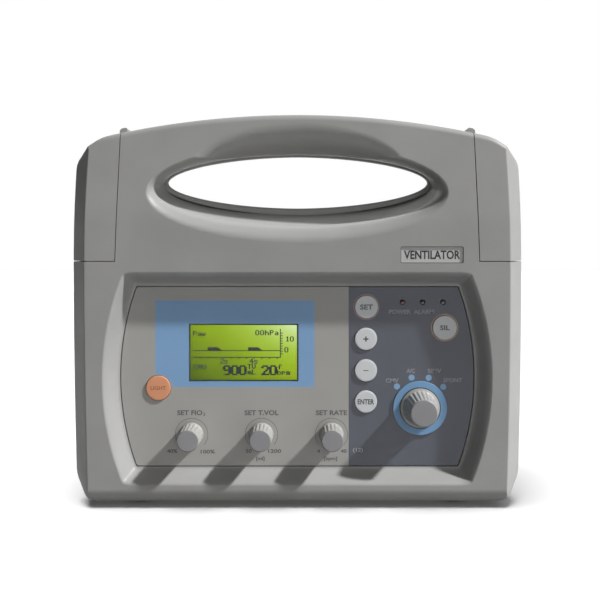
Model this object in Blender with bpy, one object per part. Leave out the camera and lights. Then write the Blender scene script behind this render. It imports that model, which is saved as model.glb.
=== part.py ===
"""Portable transport ventilator: a moulded case with a built-in handle, a recessed control panel
with four knobs and six keys, a display, and the gas, power and battery parts behind it.

Case coordinates are in millimetres: x to the right, d backwards from the flat front face, and
z upwards from the bottom of the case. at() turns them into Blender's metres, with the origin on
the ground under the middle of the whole object.
"""

import math

import bmesh
import bpy
from mathutils import Vector

MM = 0.001

# Driving dimensions, in millimetres.
FOOT_HEIGHT = 3.0
CASE_DEPTH = 124.0
HANDLE_TOP = 252.4  # top of the handle arch above the bottom of the case
PARTING = 34.0  # depth of the line where the front and rear shells meet
PANEL_DEPTH = 12.0  # how far the control panel is sunk behind the front face
KNOB_PROUD = 10.0  # how far the knob caps stand out of the front face
HANDLE_DEPTH = 46.0
WALL = 3.0
SEAM = 0.5  # visible gap between mouldings
CLEAR = 0.3  # gap between pieces that touch

FRONT_Y = -(CASE_DEPTH - KNOB_PROUD) / 2

# Case outline, as seen from the front.
WAIST_HALF = 137.9  # half width of the flat front face where it is widest
WAIST_Z = 157.0
FOOT_BOW = 2.6  # how much narrower the face is at the bottom
SHOULDER_BOW = 2.4  # and at the shoulders
STRIP = 10.6  # width of the slanted strip down each side
STRIP_DEPTH = 16.0
CORNER_RISE = 14.0  # height of the cut corner at the bottom of the strip
SHOULDER_Z = 232.6
SHOULDER_DROP = 9.2
SHOULDER_MID = (127.0, 238.0)
ARCH_HALF = 114.7  # the handle's arch springs from here
ARCH_Z = 240.6
BOTTOM_ROUND = 10.0
TOP_ROUND = 4.0
LEAN_Z = 184.0  # above this the front face leans back
LEAN = math.tan(math.radians(4.0))
BOX_TOP = 186.0  # top of the rear housing
BOX_STEP = 1.2  # its sides stand this far inside the case's sides
BOX_DRAFT = 1.5
BOX_CORNER = 12.0

# Control panel: straight top and bottom, sides that bulge.
PANEL_Z = 81.0
PANEL_HALF_HIGH = 58.9
PANEL_HALF_TOP = 105.6
PANEL_BULGE = 10.5
BEVEL = 10.3  # width of the sloping wall round the panel
PLATE = 3.0
BEHIND = PANEL_DEPTH + PLATE + CLEAR  # depth of the first thing behind the panel's plate
BOARD_SPACE = 6.8  # room between the plate and the circuit boards
BOARD = 1.6

# Hand opening: ellipses (depth, middle z, half width, half height).
OPENING_FRONT = (0.0, 201.2, 98.3, 32.6)
OPENING_THROAT = (12.0, 204.0, 92.7, 23.0)
OPENING_PARTING = (PARTING, 209.0, 90.4, 19.8)
OPENING_REAR = (88.9, 17.6, 210.0)
SCOOP_Z = 215.0
SCOOP_HALF = 70.0
SCOOP_TOP = 244.0
SCOOP_END_TOP = 225.5
SCOOP_NARROWS = 14.0
REAR_LIP = ((8.0, 0.0), (4.5, 0.6), (2.0, 2.2), (0.6, 4.3), (-2.0, 6.0))

# Corner covers: the seam leans from the arch down to a level cut.
SEAM_TOP = (114.9, 239.0)
SEAM_LOW = (117.8, 156.8)
CATCH = (110.6, 115.8, 118.0)  # snap catch across the top of the seam: tip, root from x to x
CATCH_D = (15.0, 27.0)
CATCH_HIGH = 3.6

# Controls: name, x, z.
SMALL_KNOB = (7.5, 8.0, 7.1, 12)  # grip radius, skirt radius, top radius, flutes
MODE_KNOB = (11.2, 13.0, 9.5, 16)
KNOB_PITCH = 46.0
KNOB_Z = 42.7
OXYGEN_X = -69.6
SMALL_KNOBS = [
    ("oxygen", OXYGEN_X, KNOB_Z),
    ("volume", OXYGEN_X + KNOB_PITCH, KNOB_Z),
    ("rate", OXYGEN_X + 2 * KNOB_PITCH, KNOB_Z),
]
MODE_X, MODE_Z = 80.6, 60.2
KEYS = [
    ("light", -91.4, 73.4, 8.1),
    ("set", 45.4, 126.6, 7.6),
    ("plus", 45.0, 105.6, 7.3),
    ("minus", 45.0, 84.9, 7.3),
    ("enter", 45.0, 64.4, 7.3),
    ("silence", 96.9, 113.0, 8.0),
]
SWITCH = 2.3  # how far a key's switch stands out of its circuit board
LAMPS = [("power", 69.2), ("alarm", 82.4), ("battery", 95.8)]
LAMP_Z = 129.7
LAMP_RADIUS = 1.6
SHAFT_RADIUS = 3.0
SHAFT_HOLE = 4.7
DIAL_RADIUS, DIAL_END = 8.6, 29.0  # what the small knobs turn: radius, depth of its back
MIXER_END = 44.0  # the oxygen mixer is longer
MODE_SWITCH_RADIUS, MODE_SWITCH_END = 12.0, 36.0
DISPLAY = (-71.5, 0.7, 77.5, 115.6)  # window: x from, x to, z from, z to
BADGE = (66.8, 107.4, 155.6, 166.4)
BADGE_DEPTH = 1.3

# Rear housing.
REAR_ROUND = 8.0
BAY = (10.0, 128.0, 22.0, 112.0)  # connector bay
BAY_DEPTH = 30.0
BATTERY_BAY = (-128.0, -10.0, 22.4, 92.0)
BATTERY_BAY_DEPTH = 40.0
COVER_PLATE = 3.0
FILTER_X, FILTER_Z, FILTER_RADIUS = 84.0, 149.0, 21.0
FILTER_SEAT = CASE_DEPTH - 1.5
SCREW_POSTS = [(-127.0, 14.5), (127.0, 14.5), (-128.0, 146.0), (128.0, 146.0)]
POST_RADIUS = 6.5
SCREW_BORE = 4.3
SCREW_SHANK = 1.5
SCREW_HEAD_D = 44.0
LOUVRE = (-112.0, -40.0, 112.0, 115.2)  # the lowest of them: x from, x to, z from, z to
LOUVRES = 7
LOUVRE_PITCH = 8.0
FOOT_X, FOOT_D = 104.0, (26.0, 104.0)
FOOT_RADIUS = 9.0

# How finely round shapes are divided.
ROUND = 20
OVAL = 36
SIDE_STEPS = 5
ARCH_STEPS = 7
BEVEL_STEPS = 5


def at(x, d, z):
    """A point of the case in the object's own frame, in metres."""
    return Vector((x, d + FRONT_Y, z + FOOT_HEIGHT)) * MM


# ---------------------------------------------------------------- outlines


def face_half(z):
    """Half width of the flat front face at height z: it bows out to the waist."""
    if z < WAIST_Z:
        return WAIST_HALF - FOOT_BOW * ((WAIST_Z - z) / WAIST_Z) ** 2
    return WAIST_HALF - SHOULDER_BOW * ((z - WAIST_Z) / (SHOULDER_Z - WAIST_Z)) ** 2


def arch_z(x):
    """Height of the handle's arch at x, on a circle through its two springing points."""
    rise = HANDLE_TOP - ARCH_Z
    radius = (ARCH_HALF**2 + rise**2) / (2 * rise)
    return HANDLE_TOP - radius + math.sqrt(radius**2 - x**2)


def mirrored(right):
    """A closed outline from its right half, which runs from the bottom middle to the top middle."""
    left = [(-x, z) for x, z in reversed(right[1:-1])]
    return right + left


def case_outline(strip, top_inset=0.0, floor=0.0, inset=0.0):
    """The case seen from the front, with its sides out by strip and its walls moved in by inset."""
    share = max(strip / STRIP, 0.02)
    low = floor + inset
    top = top_inset + inset
    side_from = low + CORNER_RISE * share
    side_to = SHOULDER_Z - SHOULDER_DROP * share - top
    half = [(0.0, low), (face_half(0.0) - inset, low)]
    for i in range(SIDE_STEPS + 1):
        z = side_from + (side_to - side_from) * i / SIDE_STEPS
        half.append((face_half(z) + strip - inset, z))
    half.append((face_half(SHOULDER_Z) - inset, SHOULDER_Z - top))
    half.append((SHOULDER_MID[0] - inset / 2, SHOULDER_MID[1] - top))
    for i in range(ARCH_STEPS + 1):
        x = ARCH_HALF * (1 - i / ARCH_STEPS)
        half.append((x, arch_z(x) - top))
    return mirrored(half)


def box_outline(inset, low=0.0):
    """The rear housing seen from behind: the case's lower part, a little narrower, under a flat
    top. Its sides and top are moved in by inset and its bottom is at low."""
    corner = BOX_CORNER
    top = BOX_TOP - inset
    half = [(0.0, low), (face_half(0.0) - inset, low)]
    for i in range(SIDE_STEPS + 1):
        z = low + CORNER_RISE + (top - corner - low - CORNER_RISE) * i / SIDE_STEPS
        half.append((face_half(z) + STRIP - inset, z))
    reach = face_half(top) + STRIP - inset
    for angle in (30.0, 60.0, 90.0):
        turn = math.radians(angle)
        across = corner * (1 - math.cos(turn))
        half.append((reach - across, top - corner * (1 - math.sin(turn))))
    half.append((0.0, top))
    return mirrored(half)


def panel_outline(grow=0.0):
    """The control panel's outline, moved outwards by grow."""
    radius = (PANEL_HALF_HIGH**2 + PANEL_BULGE**2) / (2 * PANEL_BULGE)
    middle = PANEL_HALF_TOP + PANEL_BULGE - radius
    radius += grow
    half_high = PANEL_HALF_HIGH + grow
    reach = math.asin(half_high / radius)
    half = [(0.0, PANEL_Z - half_high)]
    steps = 2 * SIDE_STEPS
    for i in range(steps + 1):
        turn = reach * (2 * i / steps - 1)
        half.append((middle + radius * math.cos(turn), PANEL_Z + radius * math.sin(turn)))
    half.append((0.0, PANEL_Z + half_high))
    return mirrored(half)


def ellipse(half_wide, half_high, middle_z, middle_x=0.0, steps=OVAL):
    turns = [2 * math.pi * i / steps for i in range(steps)]
    return [(middle_x + half_wide * math.cos(t), middle_z + half_high * math.sin(t)) for t in turns]


def rectangle(x0, x1, z0, z1):
    return [(x0, z0), (x1, z0), (x1, z1), (x0, z1)]


def grown(box, by):
    x0, x1, z0, z1 = box
    return (x0 - by, x1 + by, z0 - by, z1 + by)


def quarter(d, radius):
    """How far a rounded edge of this radius is from its full size at depth d behind its start."""
    rest = max(radius - d, 0.0)
    return radius - math.sqrt(radius**2 - rest**2)


# ---------------------------------------------------------------- making solids


def finished(name, bm):
    bmesh.ops.remove_doubles(bm, verts=bm.verts, dist=1e-7)
    bmesh.ops.recalc_face_normals(bm, faces=bm.faces)
    mesh = bpy.data.meshes.new(name)
    bm.to_mesh(mesh)
    bm.free()
    made = bpy.data.objects.new(name, mesh)
    bpy.context.scene.collection.objects.link(made)
    return made


def loft(name, sections):
    """A closed solid through sections, each a (depth, outline) with the same number of points."""
    bm = bmesh.new()
    rings = []
    for depth, outline in sections:
        verts = [bm.verts.new(at(x, depth, z)) for x, z in outline]
        pairs = zip(verts, verts[1:] + verts[:1])
        rings.append((verts, [bm.edges.new(pair) for pair in pairs]))
    for (_, near), (_, far) in zip(rings, rings[1:]):
        bmesh.ops.bridge_loops(bm, edges=near + far)
    bm.faces.new(rings[0][0])
    bm.faces.new(rings[-1][0])
    return finished(name, bm)


def slab(name, outline, d0, d1):
    """An outline with a straight run through the depth."""
    return loft(name, [(d0, outline), (d1, outline)])


def block(name, x, d, z, bevel=0.0):
    """A box from ranges of x, depth and z, with its edges bevelled."""
    bm = bmesh.new()
    bmesh.ops.create_cube(bm, size=1.0)
    low, high = at(x[0], d[0], z[0]), at(x[1], d[1], z[1])
    size = high - low
    bmesh.ops.scale(bm, vec=size, verts=bm.verts)
    bmesh.ops.translate(bm, vec=(low + high) / 2, verts=bm.verts)
    if bevel:
        bmesh.ops.bevel(
            bm, geom=bm.edges[:], offset=bevel * MM, segments=1, affect="EDGES", profile=0.5
        )
    return finished(name, bm)


def turned(name, profile, x, z, steps=ROUND):
    """A solid turned about the line through x and z that runs front to back. The profile is a
    list of (radius, depth); it closes on itself, and points at radius 0 lie on the line."""
    bm = bmesh.new()
    verts = [bm.verts.new(at(x + radius, depth, z)) for radius, depth in profile]
    edges = [bm.edges.new(pair) for pair in zip(verts, verts[1:])]
    if profile[0][0] > 0 or profile[-1][0] > 0:
        edges.append(bm.edges.new((verts[-1], verts[0])))
    bmesh.ops.spin(
        bm,
        geom=verts + edges,
        cent=at(x, 0, z),
        axis=(0, 1, 0),
        angle=2 * math.pi,
        steps=steps,
        use_merge=True,
    )
    bmesh.ops.remove_doubles(bm, verts=bm.verts, dist=1e-6)
    return finished(name, bm)


def disc(name, x, z, radius, d0, d1, steps=ROUND):
    return turned(name, [(0, d0), (radius, d0), (radius, d1), (0, d1)], x, z, steps)


def boolean(target, operation, *tools):
    """Joins, cuts or keeps what target shares with all the tools at once, and removes them."""
    bm = bmesh.new()
    for tool in tools:
        bm.from_mesh(tool.data)
        bpy.data.objects.remove(tool)
    joined = bpy.data.meshes.new("tools")
    bm.to_mesh(joined)
    bm.free()
    helper = bpy.data.objects.new("tools", joined)
    bpy.context.scene.collection.objects.link(helper)
    modifier = target.modifiers.new(operation, "BOOLEAN")
    modifier.operation = operation
    modifier.object = helper
    modifier.use_self = len(tools) > 1
    graph = bpy.context.evaluated_depsgraph_get()
    mesh = bpy.data.meshes.new_from_object(target.evaluated_get(graph))
    target.modifiers.clear()
    target.data = mesh
    bpy.data.objects.remove(helper)
    return target


def cut(target, *tools):
    return boolean(target, "DIFFERENCE", *tools)


def join(target, *tools):
    return boolean(target, "UNION", *tools)


def lean_back(obj):
    """Leans the part of a front moulding above LEAN_Z back, less and less towards the parting."""
    bm = bmesh.new()
    bm.from_mesh(obj.data)
    for z in (LEAN_Z - 4, LEAN_Z + 4, LEAN_Z + 25):
        geometry = bm.verts[:] + bm.edges[:] + bm.faces[:]
        bmesh.ops.bisect_plane(
            bm, geom=geometry, dist=1e-7, plane_co=at(0, 0, z), plane_no=(0, 0, 1)
        )
    bmesh.ops.triangulate(bm, faces=bm.faces)
    for vert in bm.verts:
        z = vert.co.z / MM - FOOT_HEIGHT
        depth = vert.co.y / MM - FRONT_Y
        share = min(max(1 - depth / (PARTING - 2), 0.0), 1.0)
        vert.co.y += max(z - LEAN_Z, 0.0) * LEAN * share * MM
    bm.to_mesh(obj.data)
    bm.free()
    return obj


# ---------------------------------------------------------------- the two shells


def front_body():
    """The front moulding's outside: flat face, rounded top and bottom, slanted side strips."""
    depths = [0.0, 0.5, 1.7, 4.0, 7.0, BOTTOM_ROUND, STRIP_DEPTH, PARTING]
    sections = []
    for depth in depths:
        strip = STRIP * min(depth / STRIP_DEPTH, 1.0)
        outline = case_outline(strip, quarter(depth, TOP_ROUND), quarter(depth, BOTTOM_ROUND))
        sections.append((depth, outline))
    return loft("front_body", sections)


def recess(name, grow, reach):
    """The pocket round the panel: a wall with an S-shaped slope, then a straight seat."""
    sections = [(-2.0, panel_outline(BEVEL + grow))]
    for i in range(BEVEL_STEPS + 1):
        share = i / BEVEL_STEPS
        depth = PANEL_DEPTH * (1 - math.cos(math.pi * share)) / 2
        sections.append((depth + grow, panel_outline(BEVEL + (SEAM - BEVEL) * share + grow)))
    sections.append((reach, panel_outline(SEAM + grow)))
    return loft(name, sections)


def opening(name, grow):
    """The hand opening through the front moulding: a wide rounded rim, then a tapering tunnel."""
    d0, z0, a0, b0 = OPENING_FRONT
    d1, z1, a1, b1 = OPENING_THROAT
    d2, z2, a2, b2 = OPENING_PARTING
    sections = [(-2.0, ellipse(a0 + grow, b0 + grow, z0))]
    steps = 5
    for i in range(steps + 1):
        turn = math.pi / 2 * i / steps
        share = math.sin(turn)
        depth = d0 + (d1 - d0) * (1 - math.cos(turn))
        size = (a0 + (a1 - a0) * share + grow, b0 + (b1 - b0) * share + grow)
        sections.append((depth, ellipse(*size, z0 + (z1 - z0) * share)))
    sections.append((d2 + 3.0, ellipse(a2 + grow, b2 + grow, z2)))
    return loft(name, sections)


def finger_scoop(name, grow):
    """The hollow under the handle for the fingers: it rolls from the face to the parting."""
    base = SCOOP_END_TOP - SCOOP_Z
    height = SCOOP_TOP - SCOOP_Z
    steps = 5
    sections = [(-2.0, ellipse(SCOOP_HALF + grow, height + grow, SCOOP_Z))]
    for i in range(steps + 1):
        turn = math.pi / 2 * i / steps
        depth = (PARTING + 3) * (1 - math.cos(turn))
        share = 1 - math.sin(turn)
        wide = SCOOP_HALF - SCOOP_NARROWS * (1 - share)
        sections.append((depth, ellipse(wide + grow, base + (height - base) * share + grow, SCOOP_Z)))
    return loft(name, sections)


def front_cavity():
    """The hollow of the front moulding, keeping walls round the panel, the opening and the posts."""
    hollow = loft(
        "front_cavity",
        [
            (WALL, case_outline(0.0, TOP_ROUND - 1, BOTTOM_ROUND - 3, WALL)),
            (STRIP_DEPTH, case_outline(STRIP, 0.0, 0.0, WALL)),
            (PARTING + 1, case_outline(STRIP, 0.0, 0.0, WALL)),
        ],
    )
    return cut(
        hollow,
        recess("recess_wall", WALL, PANEL_DEPTH + PLATE + WALL),
        opening("opening_wall", WALL),
        finger_scoop("scoop_wall", WALL),
        *[disc("post", x, z, POST_RADIUS - 1, 0, PARTING + 3, 12) for x, z in SCREW_POSTS],
    )


def corner_notch(name, gap, side):
    """The prism that parts a corner cover from the front moulding."""
    (xt, zt), (xl, zl) = SEAM_TOP, SEAM_LOW
    slope = (xt - xl) / (zt - zl)
    top = 262.0
    outline = [
        (xl - gap, zl - gap),
        (170.0, zl - gap),
        (170.0, top),
        (xl - gap + slope * (top - zl), top),
    ]
    return slab(name, [(side * x, z) for x, z in outline], -3.0, PARTING + 3)


def front_parts():
    """The front moulding and its two corner covers, which share one outside surface."""
    outside = front_body()
    cavity = front_cavity()
    covers = []
    for side, word in ((-1, "left"), (1, "right")):
        cover = outside.copy()
        cover.data = outside.data.copy()
        cover.name = "corner_cover_" + word
        bpy.context.scene.collection.objects.link(cover)
        boolean(cover, "INTERSECT", corner_notch("notch", -SEAM / 2, side))
        hollow = cavity.copy()
        hollow.data = cavity.data.copy()
        bpy.context.scene.collection.objects.link(hollow)
        covers.append(cut(cover, hollow))
    shell = outside
    shell.name = "front_shell"
    cut(
        shell,
        corner_notch("notch", SEAM / 2, -1),
        corner_notch("notch", SEAM / 2, 1),
        recess("recess", 0.0, PANEL_DEPTH + PLATE + CLEAR),
        opening("opening", 0.0),
        finger_scoop("scoop", 0.0),
        cavity,
        slab("panel_back", panel_outline(-4.5), PANEL_DEPTH, PANEL_DEPTH + 12),
        slab("badge_seat", rectangle(*BADGE), -2.0, BADGE_DEPTH + CLEAR),
        *[
            disc("screw_hole", x, z, SCREW_SHANK + CLEAR, 16, PARTING + 2, 12)
            for x, z in SCREW_POSTS
        ],
    )
    for piece in (shell, *covers):
        lean_back(piece)
    for side, cover in zip((-1, 1), covers):
        join(cover, cover_catch(side))


def rear_opening(name, grow):
    """The hand opening through the rear half of the handle, rounded at the back."""
    wide, high, middle = OPENING_REAR
    start = PARTING - 2
    sections = [(start, ellipse(wide + grow, high + grow, middle))]
    for back, spread in REAR_LIP:
        size = (wide + grow + spread, high + grow + spread)
        sections.append((HANDLE_DEPTH - back, ellipse(*size, middle)))
    return loft(name, sections)


def rear_shell():
    start = PARTING + SEAM
    back = case_outline(STRIP)
    handle = loft(
        "rear_shell",
        [
            (start, back),
            (HANDLE_DEPTH - 5.0, back),
            (HANDLE_DEPTH - 3.2, case_outline(STRIP, inset=0.4)),
            (HANDLE_DEPTH - 1.0, case_outline(STRIP, inset=2.0)),
            (HANDLE_DEPTH, case_outline(STRIP, inset=5.0)),
        ],
    )
    box = [(HANDLE_DEPTH - 7.0, box_outline(BOX_STEP))]
    for turn in (0.0, 25.0, 50.0, 72.0, 90.0):
        back = REAR_ROUND * (1 - math.sin(math.radians(turn)))
        inset = REAR_ROUND * (1 - math.cos(math.radians(turn)))
        box.append((CASE_DEPTH - back, box_outline(BOX_STEP + BOX_DRAFT + inset, inset)))
    join(handle, loft("rear_box", box))
    cavity = slab("cavity", case_outline(STRIP, inset=WALL), PARTING - 1, HANDLE_DEPTH - WALL)
    inner = BOX_STEP + BOX_DRAFT + WALL
    cavity_box = [
        (PARTING - 2, box_outline(BOX_STEP + WALL + 0.4, WALL + 0.4)),
        (CASE_DEPTH - REAR_ROUND, box_outline(inner, WALL + 0.4)),
        (CASE_DEPTH - WALL, box_outline(inner + 5, WALL + 5)),
    ]
    join(cavity, loft("cavity_box", cavity_box))
    cut(
        cavity,
        rear_opening("tunnel_wall", WALL),
        slab("bay_wall", rectangle(*grown(BAY, WALL)), CASE_DEPTH - BAY_DEPTH - WALL, CASE_DEPTH),
        slab(
            "battery_wall",
            rectangle(*grown(BATTERY_BAY, WALL)),
            CASE_DEPTH - BATTERY_BAY_DEPTH - WALL,
            CASE_DEPTH,
        ),
        *[disc("post", x, z, POST_RADIUS, PARTING - 4, CASE_DEPTH + 2, 16) for x, z in SCREW_POSTS],
    )
    louvres = []
    x0, x1, z0, z1 = LOUVRE
    for i in range(LOUVRES):
        slot = rectangle(x0, x1, z0 + i * LOUVRE_PITCH, z1 + i * LOUVRE_PITCH)
        louvres.append(slab("louvre", slot, CASE_DEPTH - 9, CASE_DEPTH + 2))
    holes = []
    for x, z in SCREW_POSTS:
        holes.append(disc("screw_bore", x, z, SCREW_BORE, SCREW_HEAD_D, CASE_DEPTH + 2, 16))
        holes.append(disc("screw_hole", x, z, SCREW_SHANK + CLEAR, PARTING - 4, SCREW_HEAD_D + 2, 12))
    return cut(
        handle,
        cavity,
        rear_opening("tunnel", 0.0),
        slab("bay", rectangle(*BAY), CASE_DEPTH - BAY_DEPTH, CASE_DEPTH + 2),
        slab("bay_back", rectangle(*grown(BAY, -8)), CASE_DEPTH - BAY_DEPTH - 8, CASE_DEPTH),
        slab("cover_seat", rectangle(*BATTERY_BAY), CASE_DEPTH - BATTERY_BAY_DEPTH, CASE_DEPTH + 2),
        disc("filter_hole", FILTER_X, FILTER_Z, FILTER_RADIUS - 3, CASE_DEPTH - 9, CASE_DEPTH + 2),
        disc("filter_seat", FILTER_X, FILTER_Z, FILTER_RADIUS, FILTER_SEAT, CASE_DEPTH + 2),
        *louvres,
        *holes,
    )


# ---------------------------------------------------------------- small outside pieces


def cover_catch(side):
    """The snap catch of a corner cover: a nub that hooks over the edge of the front shell."""
    inner, root, outer = CATCH
    low = arch_z(inner) + 0.4
    outline = [
        (inner, low),
        (root, low - 0.4),
        (root, low - 5.0),
        (outer, low - 5.0),
        (outer, low + 1.6),
        (outer - 1.2, low + CATCH_HIGH - 0.6),
        (inner + 0.9, low + CATCH_HIGH),
        (inner, low + CATCH_HIGH - 0.9),
    ]
    return slab("catch", [(side * x, z) for x, z in outline], *CATCH_D)


def badge_plate():
    x0, x1, z0, z1 = grown(BADGE, -CLEAR)
    return block("badge_plate", (x0, x1), (CLEAR, BADGE_DEPTH), (z0, z1))


def foot(name, x, d):
    """A rubber foot on the bottom of the case, wider at the top than on the ground."""
    bm = bmesh.new()
    bmesh.ops.create_cone(
        bm,
        cap_ends=True,
        segments=ROUND,
        radius1=(FOOT_RADIUS - 1.2) * MM,
        radius2=FOOT_RADIUS * MM,
        depth=(FOOT_HEIGHT - CLEAR) * MM,
    )
    middle = Vector((x, d + FRONT_Y, (FOOT_HEIGHT - CLEAR) / 2)) * MM
    bmesh.ops.translate(bm, vec=middle, verts=bm.verts)
    return finished(name, bm)


def case_screw(name, x, z):
    head = SCREW_HEAD_D + CLEAR
    profile = [
        (0, 18.0),
        (SCREW_SHANK, 18.0),
        (SCREW_SHANK, head),
        (2.8, head),
        (2.8, head + 1.8),
        (2.2, head + 2.3),
        (0, head + 2.3),
    ]
    return turned(name, profile, x, z, 12)


# ---------------------------------------------------------------- the control panel


def control_panel():
    """The stiff plate with its printed film, cut for the display, shafts, keys and lamps."""
    through = (PANEL_DEPTH - 2, BEHIND + 2)
    holes = [(x, z, SHAFT_HOLE) for _, x, z in [*SMALL_KNOBS, ("mode", MODE_X, MODE_Z)]]
    holes += [(x, z, radius + 0.35) for _, x, z, radius in KEYS]
    holes += [(x, LAMP_Z, LAMP_RADIUS + CLEAR) for _, x in LAMPS]
    return cut(
        slab("control_panel", panel_outline(0.0), PANEL_DEPTH, PANEL_DEPTH + PLATE),
        slab("window_cut", rectangle(*DISPLAY), *through),
        *[disc("hole", x, z, radius, *through, 18) for x, z, radius in holes],
    )


def display_parts():
    """Window, glass, metal frame and circuit board of the display, from front to back."""
    x0, x1, z0, z1 = grown(DISPLAY, -CLEAR)
    block("display_window", (x0, x1), (PANEL_DEPTH + 0.2, PANEL_DEPTH + 1.5), (z0, z1))
    behind = BEHIND
    x0, x1, z0, z1 = grown(DISPLAY, 4.0)
    frame = block("display_frame", (x0, x1), (behind, behind + 6.5), (z0, z1), bevel=0.6)
    cut(
        frame,
        slab("glass_seat", rectangle(*grown(DISPLAY, 1.5)), behind + 1, behind + 9),
        slab("view", rectangle(*grown(DISPLAY, -0.5)), behind - 2, behind + 4),
    )
    x0, x1, z0, z1 = grown(DISPLAY, 1.5 - CLEAR)
    block("display_glass", (x0, x1), (behind + 1 + CLEAR, behind + 5.5), (z0, z1))
    x0, x1, z0, z1 = grown(DISPLAY, 9.0)
    front = behind + BOARD_SPACE
    board = block("display_board", (x0 - 18, x1), (front, front + BOARD), (z0 - 6, z1))
    name, x, z, _ = KEYS[0]
    join(board, block("switch", (x - 3, x + 3), (front - SWITCH, front + 0.5), (z - 3, z + 3)))


def fluted(radius, depth_of_flute, count, x, z):
    """A ring of points with count flutes, three points to a flute."""
    points = []
    for i in range(3 * count):
        turn = 2 * math.pi * i / (3 * count)
        size = radius - (depth_of_flute if i % 3 == 0 else 0.0)
        points.append((x + size * math.cos(turn), z + size * math.sin(turn)))
    return points


def knob(name, x, z, radius, skirt, top, flutes, base):
    """A turned knob with a skirt and a fluted grip, hollow underneath, with a seat for its cap."""
    steps = 3 * flutes
    front = -KNOB_PROUD

    def ring(size):
        return ellipse(size, size, z, x, steps)

    body = loft(
        name,
        [
            (base, ring(skirt)),
            (base - 1.2, ring(skirt)),
            (base - 2.6, ring(radius + 0.25)),
            (base - 3.4, fluted(radius, 0.5, flutes, x, z)),
            (front + 2.2, fluted(top, 0.45, flutes, x, z)),
            (front + 1.0, ring(top - 0.5)),
            (front + 0.4, ring(top - 1.0)),
        ],
    )
    cap = top - 1.6
    cut(
        body,
        disc("nut_room", x, z, min(6.5, skirt - 1.4), base - 3.5, base + 2),
        disc("shaft_room", x, z, SHAFT_RADIUS + CLEAR, front + 6, base + 2, 16),
        disc("cap_seat", x, z, cap + CLEAR, front - 2, front + 2.0),
    )
    profile = [(0, front), (cap - 0.8, front + 0.15), (cap, front + 0.7)]
    turned(name + "_cap", [*profile, (cap, front + 1.7), (0, front + 1.7)], x, z)
    disc(name.replace("knob", "shaft"), x, z, SHAFT_RADIUS, front + 6.4, 25.0, 16)
    return body


def rotary_control(name, x, z, body_radius, body_end):
    """What a knob turns: a bushing through the panel with its nut in front, and a body behind."""
    behind = BEHIND
    nut_front = PANEL_DEPTH - CLEAR - 2.0
    hole = SHAFT_RADIUS + CLEAR
    profile = [
        (hole, nut_front),
        (5.6, nut_front),
        (5.6, PANEL_DEPTH - CLEAR),
        (SHAFT_HOLE - CLEAR, PANEL_DEPTH - CLEAR),
        (SHAFT_HOLE - CLEAR, behind + 2.4),
        (body_radius, behind + 2.4),
        (body_radius, body_end),
        (hole - 1.5, body_end),
        (hole - 1.5, 26.0),
        (hole, 26.0),
    ]
    return turned(name, profile, x, z, 14)


def key(name, x, z, radius):
    """A round key: a domed cap through the panel, a flange behind it and a stem."""
    behind = BEHIND
    front = PANEL_DEPTH - 1.4
    profile = [
        (0, front - 0.25),
        (radius * 0.6, front - 0.1),
        (radius - 0.5, front + 0.3),
        (radius, front + 0.9),
        (radius, behind),
        (radius + 0.9, behind),
        (radius + 0.9, behind + 1.0),
        (2.0, behind + 1.0),
        (2.0, behind + 3.4),
        (0, behind + 3.4),
    ]
    return turned(name + "_key", profile, x, z, 16)


def key_board():
    """The circuit board behind the keys on the right, with a switch under each key."""
    front = BEHIND + BOARD_SPACE
    outline = [(36, 54), (56, 54), (56, 96), (108, 96), (108, 136), (36, 136)]
    board = slab("key_board", outline, front, front + BOARD)
    for name, x, z, _ in KEYS:
        if name != "light":
            switch = block("switch", (x - 3, x + 3), (front - SWITCH, front + 0.5), (z - 3, z + 3))
            join(board, switch)
    return board


def lamp(name, x):
    profile = [
        (0, PANEL_DEPTH - 0.7),
        (0.9, PANEL_DEPTH - 0.4),
        (LAMP_RADIUS, PANEL_DEPTH + 0.3),
        (LAMP_RADIUS, 21.8),
        (0, 21.8),
    ]
    return turned(name + "_lamp", profile, x, LAMP_Z, 12)


def mode_ring():
    """The coloured ring round the mode knob."""
    profile = [(13.5, 10.9), (17.3, 10.9), (17.8, 11.3), (17.8, 11.7), (13.5, 11.7)]
    return turned("mode_ring", profile, MODE_X, MODE_Z, 30)


# ---------------------------------------------------------------- rear and inside


def battery_parts():
    x0, x1, z0, z1 = BATTERY_BAY
    seat = CASE_DEPTH - COVER_PLATE
    cover = block(
        "battery_cover",
        (x0 + SEAM, x1 - SEAM),
        (seat, CASE_DEPTH),
        (z0 + SEAM, z1 - SEAM),
        bevel=0.5,
    )
    grip = slab("grip", ellipse(12, 5, (z0 + z1) / 2, x1 - 20, 24), CASE_DEPTH - 1.6, CASE_DEPTH + 2)
    cut(cover, grip)
    block(
        "battery_pack",
        (x0 + 3, x1 - 3),
        (CASE_DEPTH - BATTERY_BAY_DEPTH + 1, seat - 1.0),
        (z0 + 3, z1 - 3),
        bevel=2.0,
    )


CONNECTORS = {
    "patient_outlet": (98.0, 82.0, 11.2),
    "pressure_port": (66.0, 90.0, 6.0),
    "oxygen_inlet": (98.0, 46.0, 11.5),
}
SOCKET = (22.0, 46.0, 32.0, 52.0)
ROCKER = (22.0, 46.0, 68.0, 98.0)
BAY_FLOOR = CASE_DEPTH - BAY_DEPTH + CLEAR
BAY_PLATE = 2.0
PORT_FACE = BAY_FLOOR + BAY_PLATE + CLEAR  # where the connectors' flanges rest
PORT_BACK = CASE_DEPTH - BAY_DEPTH - 6.0


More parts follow.
